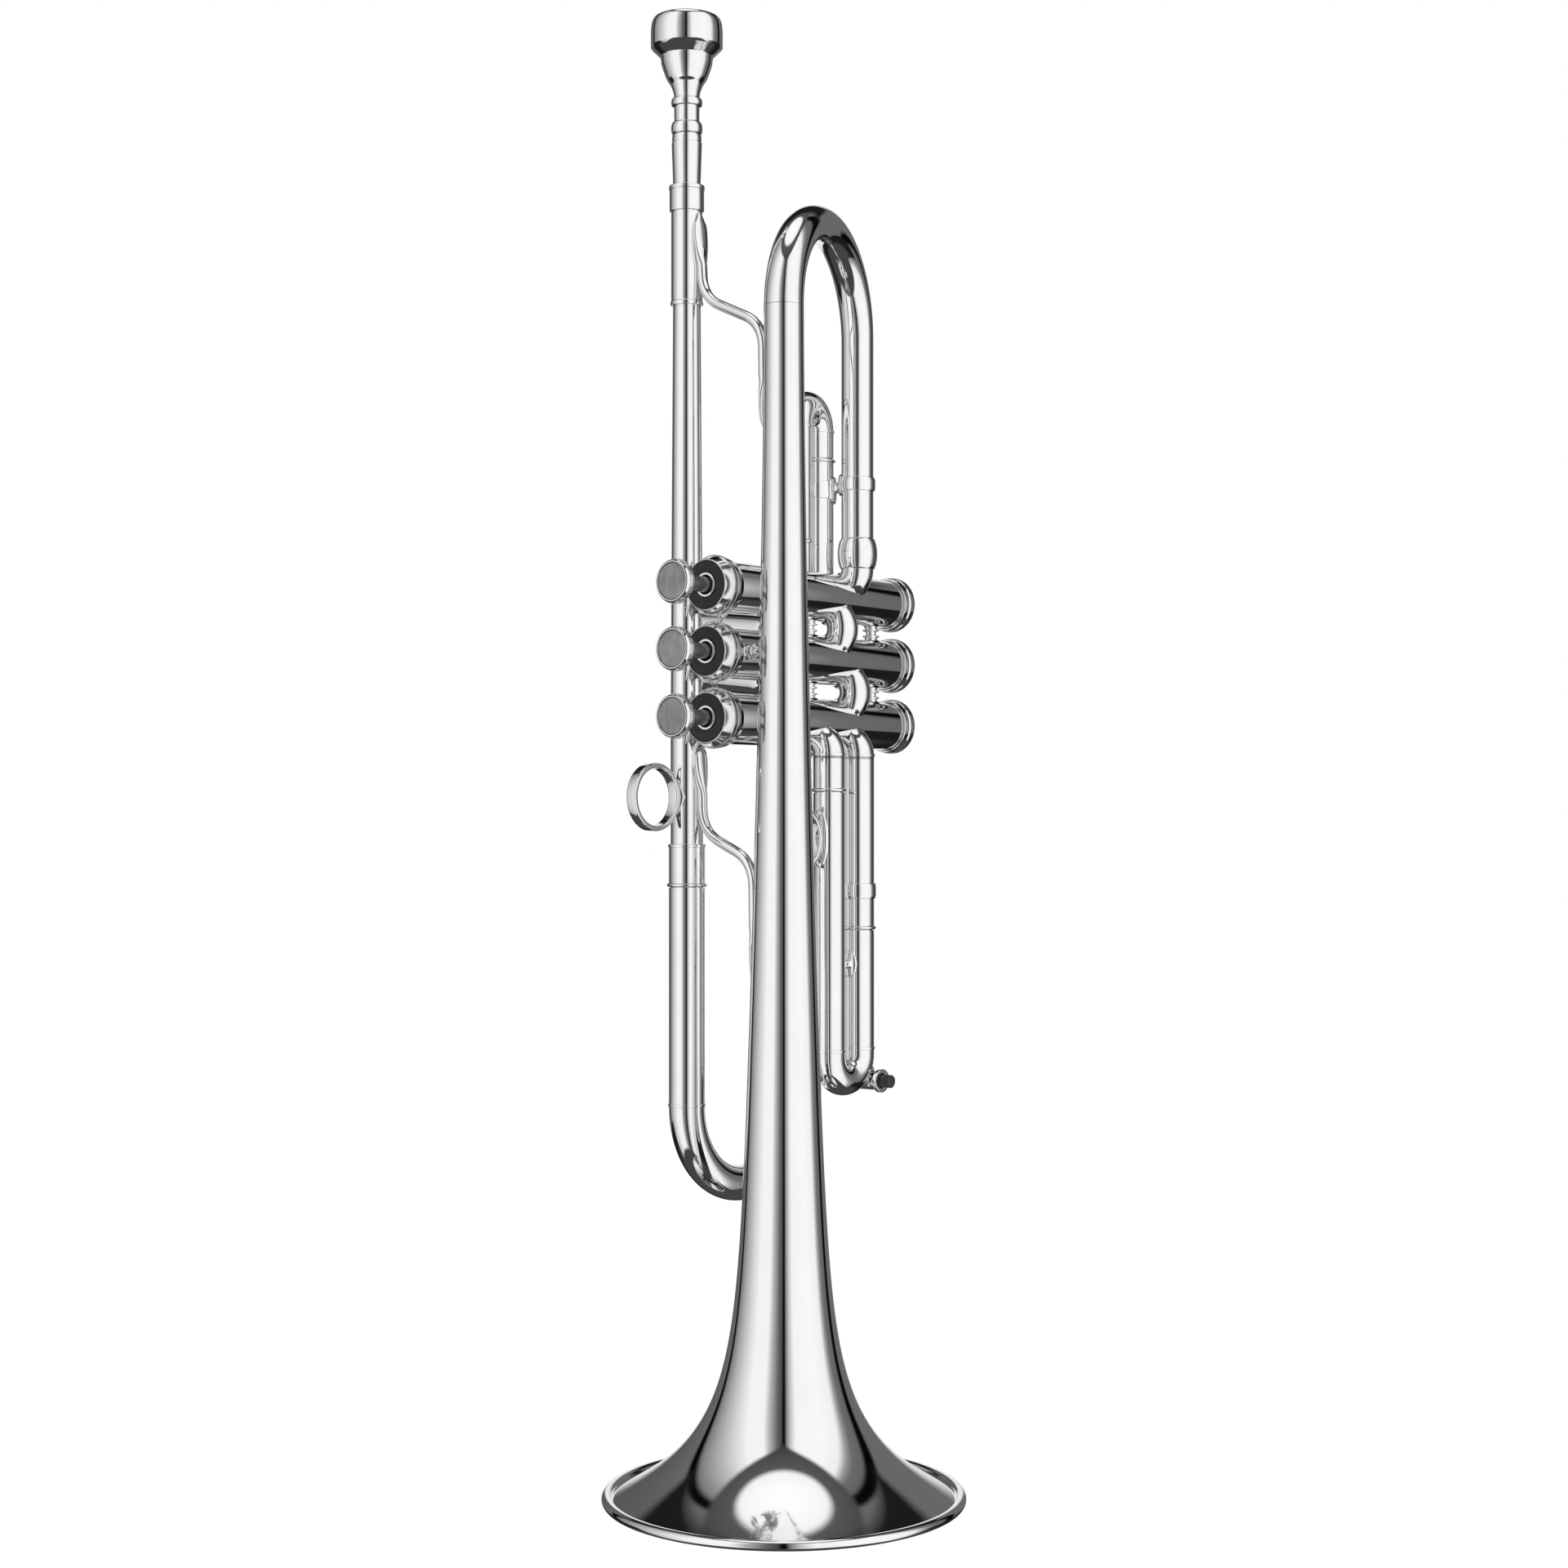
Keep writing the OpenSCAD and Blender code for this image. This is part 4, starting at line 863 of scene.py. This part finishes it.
def makeSecondSlide():
    look = secondLook
    tilt = math.radians(look["tilt"])
    out = Vector((-math.cos(tilt), 0, math.sin(tilt)))
    up = Vector((math.sin(tilt), 0, math.cos(tilt)))
    base = Vector((valveX, look["y"], valveZs[1]))
    half = look["pitch"] / 2
    fixed, moving, legs = [], [], []
    for s in (-1, 1):
        bendAt = base + up * s * (half - kneeBend) + out * (kneeBend + 4)
        knee = arc(bendAt, -out, up * s, kneeBend, -5, 90, 24)
        end = base + up * s * half + out * (look["reach"] + 4)
        fixed.append(sunkInCasings(sweep(knee + [end], sleeveR, slideLook["sides"], slideLook["wall"])))
        fixed.append(lathe(ringBead(sleeveR, 0), end - out * 0.75, out, 72, True))
        start = end + out * 0.3
        bowFoot = base + up * s * half + out * look["bow"]
        moving.append(lineAt(*(start + out * 1.2), axis=tuple(out)))
        moving.append(sweep([end - out * 18, bowFoot], innerR, 48, 0.5))
        legs.append((start, bowFoot))
    centre = base + out * look["bow"]
    bend = arc(centre, up, out, half, 0, 180, 40)
    moving.append(sweep([legs[1][0]] + bend + [legs[0][0]], sleeveR, slideLook["sides"], slideLook["wall"]))
    silverPiece("secondSlideSleeves", fixed, "horn", ["second_slide_sleeves"], 50)
    silverPiece("secondSlide", moving, "second_slide", ["second_slide"], 50)


mainLook = {"r": 6.65, "inner": 6.1, "wall": 0.5}
mainLow, mainHigh = boxOf("main_tuning_slide")
mainSleeveLow = boxOf("main_slide_sleeve")[0]
mainY = mainHigh[1] - mainLook["r"] - 0.35
mainLine = mainLow[2] + mainLook["r"] + mainY / 2
ferruleTop = leadLow[2]
mainBead = ferruleTop - 15.8


def makeMainSlide():
    r, inner, wall = mainLook["r"], mainLook["inner"], mainLook["wall"]
    bend = valveX - pipeX
    top = valveZs[2] - bend
    corner = arc((valveX, mainY, top), (-1, 0, 0), (0, 0, 1), bend, 0, 92, 40)
    fixed = [pipeAt(pipeX, mainY, r, inner + 0.05, mainSleeveLow[2] + 0.1, top - 0.5),
             beadAt(pipeX, mainY, mainLine + 3.75, r), lineAt(pipeX, mainY, top - 0.4, r),
             sunkInCasings(sweep([Vector((pipeX, mainY, top - 1))] + corner, sleeveR, 72))]
    silverPiece("mainSlideSleeve", fixed, "horn", ["main_slide_sleeve"], 50)
    ferrule = [pipeAt(pipeX, 0, r, inner - wall, mainBead, ferruleTop), beadAt(pipeX, 0, mainBead + 0.75, r),
               lineAt(pipeX, 0, ferruleTop - 0.6, r),
               pipeAt(pipeX, 0, inner, inner - wall, mainLine + 10, mainBead + 1)]
    silverPiece("leadpipeFerrule", ferrule, "horn", ["leadpipe_ferrule"], 50)
    bow = [Vector((pipeX, 0, mainBead - 0.3))]
    bow += arc((pipeX, mainY / 2, mainLine), (0, -1, 0), (0, 0, -1), mainY / 2, 0, 180, 72)
    moving = [sweep(bow, r, 96, wall), lineAt(pipeX, 0, mainLine + 0.55, r),
              lineAt(pipeX, mainY, mainLine + 0.6, r),
              pipeAt(pipeX, mainY, r + 0.2, inner - wall, mainLine - 0.2, mainLine + 2),
              pipeAt(pipeX, mainY, inner, inner - wall, mainLine, mainLine + 70)]
    silverPiece("mainTuningSlide", moving, "main_slide", ["main_tuning_slide"], 50)


makeThirdSlide()
makeFirstSlide()
makeSecondSlide()
makeMainSlide()
print("slides made")

leadLook = {"small": 5.1, "large": 6.0, "wall": 0.5, "wideUp": 38.0}


def makeLeadpipe():
    look = leadLook
    bottom, top = leadLow[2], leadHigh[2]
    sleeveLow, sleeveHigh = boxOf("leadpipe_sleeve")
    wide = bottom + look["wideUp"]
    rows = 40
    side = [(look["large"], bottom)]
    for k in range(rows + 1):  # an easy taper instead of a kink
        t = k / rows
        r = look["large"] + (look["small"] - look["large"]) * t ** 1.15
        side.append((r, wide + (sleeveLow[2] - wide) * t))
    side.append((look["small"], top))
    profile = side + [(r - look["wall"], h) for r, h in reversed(side)]
    pieces = [("leadpipe", "leadpipe", profile)]
    small, z0, z1 = look["small"], sleeveLow[2], sleeveHigh[2]
    r = small + 0.7
    pieces.append(("leadpipeSleeve", "leadpipe_sleeve", softened([
        (small + 0.05, z0), (r + 0.25, z0), (r + 0.25, z0 + 1.5), (r, z0 + 1.7), (r, z1), (small + 0.05, z1)],
        0.2, closed=True)))
    low, high = boxOf("mouthpiece_receiver")
    r, z0, z1 = small + 1.3, low[2], high[2]
    pieces.append(("mouthpieceReceiver", "mouthpiece_receiver", softened([
        (small - 0.2, z0), (r, z0), (r, z1 - 1.7), (r + 0.2, z1 - 1.5), (r + 0.2, z1), (small + 0.1, z1)],
        0.35, closed=True)))
    for name, node, profile in pieces:
        silverPiece(name, [lathe(profile, *upright(pipeX, pipeY), 96, True)], "horn", [node])


mouthpieceLook = {"rim": 13.3, "cup": 8.4, "cupDepth": 11.0, "throat": 1.85, "shankEnd": 86.0}


def smoothed(points, steps=6):  # a Catmull-Rom curve through the points
    out = []
    for k in range(len(points) - 1):
        p0, p1, p2 = points[max(k - 1, 0)], points[k], points[k + 1]
        p3 = points[min(k + 2, len(points) - 1)]
        for s in range(steps):
            t = s / steps
            out.append(tuple(
                0.5 * (2 * b + (c - a) * t + (2 * a - 5 * b + 4 * c - d) * t * t
                       + (3 * b - a - 3 * c + d) * t ** 3)
                for a, b, c, d in zip(p0, p1, p2, p3)))
    return out + [points[-1]]


def makeMouthpiece():
    look = mouthpieceLook
    top = boxOf("mouthpiece")[1][2]
    rim, cup, depth, throat = look["rim"], look["cup"], look["cupDepth"], look["throat"]
    crown = smoothed([
        (cup, -1.9), (cup + 0.5, -0.75), (cup + 1.7, -0.06), (rim - 2.3, -0.02), (rim - 1.1, -0.65),
        (rim - 0.35, -2.2), (rim - 0.02, -5.0), (rim, -8), (rim - 0.02, -11.1)])
    under = smoothed([(rim - 0.6, -11.9), (rim - 2.0, -13.2), (rim - 3.45, -14.6)])
    waist = smoothed([(rim - 3.65, -15.3), (rim - 4.1, -18), (rim - 5.8, -22.6), (rim - 7.2, -24.8),
                      (rim - 8.2, -27.2), (rim - 8.6, -29.3)])
    beads = []
    for centre, half, r, step in ((-31.4, 1.6, 5.77, 4.7), (-40.95, 2.3, 5.8, 4.65), (-44.7, 1.4, 5.45, 5.15)):
        beads += [(step, centre + half)]
        beads += [(step + (r - step) * math.sin(a) ** 0.6, centre + half * math.cos(a))
                  for a in (math.pi * k / 12 for k in range(1, 12))]
        beads += [(step, centre - half)]
    shank = [(5.62, -46.4), (5.08, -62.1), (4.26, -look["shankEnd"]), (3.7, -look["shankEnd"])]
    inside = [(throat, -depth - 8)] + smoothed([(throat, -depth - 3), (throat + 0.7, -depth - 1.2),
              (throat + 2.6, -depth + 0.5), (throat + 4.6, -depth + 3), (cup - 0.7, -depth + 6), (cup, -1.95)])
    profile = crown[1:] + under + waist + beads + shank + inside[:-1]
    silverPiece("mouthpiece", [lathe(profile, (pipeX, pipeY, top), (0, 0, 1), 160, True)], "mouthpiece",
                ["mouthpiece"])


ringLook = {"outer": 12.4, "thick": 2.0, "width": 4.4, "edge": 0.8}


def fingerRing(centre, tubeY, tubeR, footHalf, power):
    look = ringLook
    out, thick, half = look["outer"], look["thick"], look["width"] / 2
    corners = [(out - thick, -half), (out, -half), (out, half), (out - thick, half)]
    profile = softened(corners, look["edge"], 6, True)
    x, y, z = centre
    return [lathe(profile, centre, (1, 0, 0), 144, True),
            saddleFoot((x, tubeY, z), (0, -1, 0), (0, 0, 1), tubeR, 3.8, footHalf, 0.95, power)]


def makeRings():
    for name, node, body, tubeY, tubeR, footHalf, power in (
            ("thirdSlideRing", "third_slide_ring", "third_slide", thirdA, sleeveR, 11.2, 2.0),
            ("pinkyRing", "pinky_ring", "horn", pipeY, leadLook["large"], 7.2, 1.2)):
        low, high = boxOf(node)
        centre = ((low[0] + high[0]) / 2, low[1] + ringLook["outer"], (low[2] + high[2]) / 2)
        silverPiece(name, fingerRing(centre, tubeY, tubeR, footHalf, power), body, [node])


keyLook = {"body": 3.7, "length": 12.0, "plunger": 2.5, "collar": 4.5, "saddle": 5.2}


def makeWaterKeys():
    look = keyLook
    for name, node, knob, body, knobBody, centre, bend, tubeR in (
            ("thirdWaterKey", "third_water_key", "third_key_plunger", "third_slide", "third_key",
             (thirdX, (thirdA + thirdB) / 2, thirdBow), (thirdB - thirdA) / 2, sleeveR),
            ("mainWaterKey", "main_water_key", "main_key_plunger", "main_slide", "main_key",
             (pipeX, mainY / 2, mainLine), mainY / 2, mainLook["r"])):
        low, high = boxOf(knob)
        y, z = (low[1] + high[1]) / 2, (low[2] + high[2]) / 2
        x0 = centre[0] - look["length"] / 2
        r, end = look["body"], look["length"]
        profile = softened([
            (0.01, 0), (r - 0.6, 0), (r, 0.6), (r, end - 3.2), (r - 0.45, end - 2.9), (r - 0.45, end - 0.6),
            (look["collar"], end - 0.3), (look["collar"], end + 1.4), (look["plunger"] + 0.3, end + 1.4),
            (look["plunger"] + 0.3, 1.0), (0.01, 1.0)], 0.3)
        out = Vector((0, y - centre[1], z - centre[2])).normalized()
        seat = Vector(centre) + out * (bend + tubeR - 0.6)
        saddle = look["saddle"]
        foot = softened([(saddle, 0), (saddle - 0.3, 0.9), (3.2, 1.9), (3.0, 3.2), (0.01, 3.4)], 0.4)
        silverPiece(name, [lathe(profile, (x0, y, z), (1, 0, 0), 72), lathe(foot, seat, out, 64)], body, [node])
        start, stop, wide = low[0], high[0], look["plunger"]
        plunger = softened([
            (0.01, start), (wide, start), (wide, stop - 2.6), (wide - 0.35, stop - 2.3),
            (wide - 0.35, stop - 1.9), (wide, stop - 1.6), (wide, stop - 0.2), (wide - 0.5, stop),
            (0.01, stop)], 0.25)
        finishMesh(f"{name}Plunger", joined("plunger", [lathe(plunger, (0, y, z), (1, 0, 0), 64)]), knobBody,
                   blackButton, [knob])


postLook = {"bell": 3.0, "casing": 3.5}


def turnedPost(start, axis, length, r):
    half = [(1.0, 0.0), (0.74, 0.07), (0.66, 0.15), (0.7, 0.2), (0.9, 0.25), (0.93, 0.31), (0.82, 0.36),
            (0.6, 0.4), (0.56, 0.5)]
    curve = smoothed(half + [(a, 1 - h) for a, h in reversed(half[:-1])], 5)
    profile = [(0.01, 0.0)] + [(a * r, h * length) for a, h in curve] + [(0.01, length)]
    return lathe(profile, start, axis, 64)


def band(x, y, z, r, half):
    profile = softened([
        (r - 0.05, -half), (r + 0.45, -half), (r + 0.75, -half * 0.6), (r + 0.75, half * 0.6), (r + 0.45, half),
        (r - 0.05, half)], 0.5, closed=True)
    return lathe(profile, (x, y, z), (0, 0, 1), 96, True)


def clampPair(first, second, firstR, secondR, halfA, halfB, postR):
    a, b = Vector(first), Vector(second)
    way = (b - a).normalized()
    parts = [band(*first, firstR, halfA), band(*second, secondR, halfB)]
    for end, heading, r, half in ((a, way, firstR, halfA), (b, -way, secondR, halfB)):
        facing = Vector((heading.x, heading.y, 0))
        parts.append(saddleFoot(end, facing, (0, 0, 1), r + 0.3, 5.0, half * 1.55, 1.1))
    start = a + way * (firstR - 0.2)
    length = (b - a).length - firstR - secondR + 0.4
    half = [(postR * 1.6, 0), (postR, 0.22), (postR * 0.8, 0.5)]
    profile = softened(half + [(r, 1 - h) for r, h in reversed(half[:-1])], 0.08)
    parts.append(lathe([(r, h * length) for r, h in profile], start, way, 64))
    return parts


def makePosts():
    low, high = boxOf("bell_post")
    x0 = valveX + casingR - 0.3
    y = (low[1] + high[1]) / 2
    post = turnedPost((x0, y, valveZs[1]), (1, 0, 0), high[0] - x0 + 0.2, postLook["bell"])
    silverPiece("bellPost", [post], "horn", ["bell_post"])
    low, high = boxOf("casing_posts")
    posts = []
    for n in range(2):
        for y in (low[1] + postLook["casing"], high[1] - postLook["casing"]):
            z0 = valveZs[n + 1] + casingR - 0.25
            length = valveZs[n] - casingR + 0.25 - z0
            posts.append(turnedPost((valveX, y, z0), (0, 0, 1), length, postLook["casing"]))
    silverPiece("casingPosts", posts, "horn", ["casing_posts"])
    top = valveZs[0]
    clamp = clampPair((branchX, branchY, top + 43.6), (firstQ.x, firstQ.y, top + 41.6), sleeveR, sleeveR,
                      2.7, 3.4, 2.4)
    silverPiece("branchClamp", clamp, "horn", ["branch_clamp"])
    z = thirdBeadB + 14.8
    brace = clampPair((thirdX, thirdB, z), (pipeX, mainY, z), sleeveR, mainLook["r"], 3.0, 3.0, 2.2)
    silverPiece("slideBrace", brace, "horn", ["slide_brace"])


braceLook = {
    "r": 1.9, "leafWidth": 3.6, "leafThick": 0.85, "leaf": 22.0, "bend": 9.0,
    "seat": 0.4,  # how far the leaves sink into the tubes
    # piece, node, and how far its bends are from its top and from its foot
    "bends": (("upperBrace", "upper_brace", 31.8, 40.4), ("lowerBrace", "lower_brace", 34.2, 45.9)),
}


def makeBraces():
    look = braceLook
    for name, node, shoulderDown, kneeUp in look["bends"]:
        low, high = boxOf(node)
        left, right = low[0] + look["r"] - look["seat"], high[0] - look["r"] + look["seat"]
        shoulder, knee = high[2] - shoulderDown, low[2] + kneeUp
        corners = [(left, 0, high[2]), (left, 0, shoulder), (right - 0.6, 0, knee), (right, 0, low[2])]
        path = resampled(roundedPath(corners, look["bend"], 10), 1.2)
        lengths = [0.0]
        for a, b in zip(path, path[1:]):
            lengths.append(lengths[-1] + (b - a).length)
        sizes = []
        for along in lengths:
            near = min(along, lengths[-1] - along)
            t = min(1.0, near / look["leaf"])
            leaf = math.sin(math.pi * min(1.0, t * 1.15)) ** 0.8 if t < 0.87 else 0.0
            tip = min(1.0, near / 5.0) ** 0.6
            wide = (look["r"] + (look["leafWidth"] - look["r"]) * leaf) * (0.12 + 0.88 * tip)
            thin = (look["leafThick"] + (look["r"] - look["leafThick"]) * t ** 1.4) * (0.35 + 0.65 * tip)
            sizes.append((wide, thin))
        outset = []
        for point, (wide, thin), along in zip(path, sizes, lengths):  # the flat leaves lie against the tubes
            shift = look["r"] - thin
            outset.append(point + Vector((-shift if along < lengths[-1] / 2 else shift, 0, 0)))
        silverPiece(name, [sweep(outset, sizes, 40, across=(0, 1, 0))], "horn", [node], 60)


makeLeadpipe()
makeMouthpiece()
makeRings()
makeWaterKeys()
makePosts()
makeBraces()
ownMeshes = {"piston_1": pistonMetal, "piston_2": pistonMetal, "piston_3": pistonMetal, "valve_guides": nylon}
for node, material in ownMeshes.items():
    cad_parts[node].data.materials.clear()
    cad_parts[node].data.materials.append(material)
print("leadpipe, rings and braces made")


# Stage, light and camera
stageLook = {"floor": 6000.0}


def makeStage():
    half = stageLook["floor"]
    corners = [(-half, -half, 0), (half, -half, 0), (half, half, 0), (-half, half, 0)]
    mesh = meshFrom("floor", corners, [[0, 1, 2, 3]])
    mesh.materials.append(makeFloor())
    floor = bpy.data.objects.new("floor", mesh)
    bpy.context.scene.collection.objects.link(floor)
    floor.visible_glossy = False  # the world's lower half stands in for it in the metal


studioLook = {
    # turn from the camera's side, to its right, in degrees, and brightness there
    "panels": [
        (-180, 0.97), (-170, 0.9), (-164, 0.35), (-134, 0.42), (-131, 0.05), (-126, 0.05), (-121, 0.5),
        (-95, 0.75), (-60, 1.0), (-34, 1.0), (-24, 0.72), (-12, 0.42), (-4, 0.3), (-1.8, 0.05), (1.8, 0.05),
        (4, 0.5), (11, 0.8), (20, 1.0), (60, 1.02), (86, 0.98), (96, 0.62), (104, 0.44), (116, 0.4),
        (120, 0.06), (128, 0.06), (132, 0.42), (162, 0.42), (168, 0.85), (180, 0.97)],
    "facing": (0.629, -0.777, 0.0), "right": (0.777, 0.629, 0.0), "strength": 1.0,
    "gamma": 2.2,  # the levels above are as they look
    "tableTop": -0.24, "tableFront": -0.72, "tableSide": -0.12, "tableEdge": -0.5, "tableLevel": 0.012,
    "gapTop": 0.52, "gapSide": -0.42, "floorLevel": 0.06,
    "domeLow": 0.76, "domeHigh": 0.86,  # the tops of the two panels, as the sine of their height
    "roof": [(0.0, 0.03), (0.76, 0.03), (0.84, 0.07), (0.925, 0.1), (0.945, 1.0), (1.0, 1.1)],
}


def makeWorld():
    look = studioLook
    world = bpy.data.worlds.new("studio")
    bpy.context.scene.world = world
    world.use_nodes = True
    tree = world.node_tree
    tree.nodes.clear()
    way = addNode(tree, "ShaderNodeTexCoord", out=0)
    toCamera, toRight = [
        addNode(tree, "ShaderNodeVectorMath", {"operation": "DOT_PRODUCT"}, {0: way, 1: look[axis]}, 1)
        for axis in ("facing", "right")]
    height = addNode(tree, "ShaderNodeSeparateXYZ", values={0: way}, out=2)
    turn = toRight.math("ARCTAN2", toCamera) / (2 * math.pi) + 0.5
    stops = [((angle + 180) / 360, grey(level ** look["gamma"])) for angle, level in look["panels"]]
    walls = addNode(tree, "ShaderNodeValToRGB", {"stops": stops}, {0: turn})
    # each panel ends in a dome; between and above them the room is grey, and a round light hangs overhead
    away = ((turn - 0.5) * (2 * math.pi)).math("SINE").math("ABSOLUTE")
    edge = look["domeLow"] + (look["domeHigh"] - look["domeLow"]) * away.math("SQRT")
    isRoof = ((height - edge) * 40.0 + 0.5).clipped()
    stops = [(place, grey(level)) for place, level in look["roof"]]
    roof = addNode(tree, "ShaderNodeValToRGB", {"stops": stops}, {0: height})
    # below, the panels end at a dark table, with a grey floor under it
    isBehind = ((look["tableSide"] - toCamera) * 9.0).clipped()
    tableTop = look["tableFront"] + (look["tableTop"] - look["tableFront"]) * isBehind
    isTable = ((tableTop - height) * 25.0).clipped()
    isFloor = ((look["tableEdge"] - height) * 8.0).clipped()
    under = mixColour(tree, isFloor, grey(look["tableLevel"]), grey(look["floorLevel"]))
    # behind the object the panels leave a dark gap above
    isGap = ((height - look["gapTop"]) * 14.0).clipped()
    isGap = isGap * ((look["gapSide"] - toCamera) * 9.0).clipped()
    upper = mixColour(tree, isGap, mixColour(tree, isRoof, walls, roof), grey(look["tableLevel"]))
    room = mixColour(tree, isTable, upper, under)
    seen = addNode(tree, "ShaderNodeLightPath", out=0)
    colour = mixColour(tree, seen, room, grey(1.0))
    level = look["strength"] + seen * (1.0 - look["strength"])
    back = addNode(tree, "ShaderNodeBackground", values={"Color": colour, "Strength": level})
    plug(tree, back, tree.nodes.new("ShaderNodeOutputWorld").inputs["Surface"])


cameraLook = {"place": (566.8, -699.9, 242.0), "turn": 39.0, "lens": 57.94, "rise": 46 / 1920}


def makeCamera():
    look = cameraLook
    data = bpy.data.cameras.new("camera")
    camera = bpy.data.objects.new("camera", data)
    bpy.context.scene.collection.objects.link(camera)
    camera.location = [value * mm for value in look["place"]]
    camera.rotation_euler = (math.radians(90), 0, math.radians(look["turn"]))
    data.lens = look["lens"]
    data.sensor_width = 36.0
    data.shift_y = look["rise"]
    data.clip_start, data.clip_end = 0.01, 50.0
    bpy.context.scene.camera = camera
    bpy.context.scene.view_settings.view_transform = "Standard"


makeStage()
makeWorld()
makeCamera()
print("studio made")
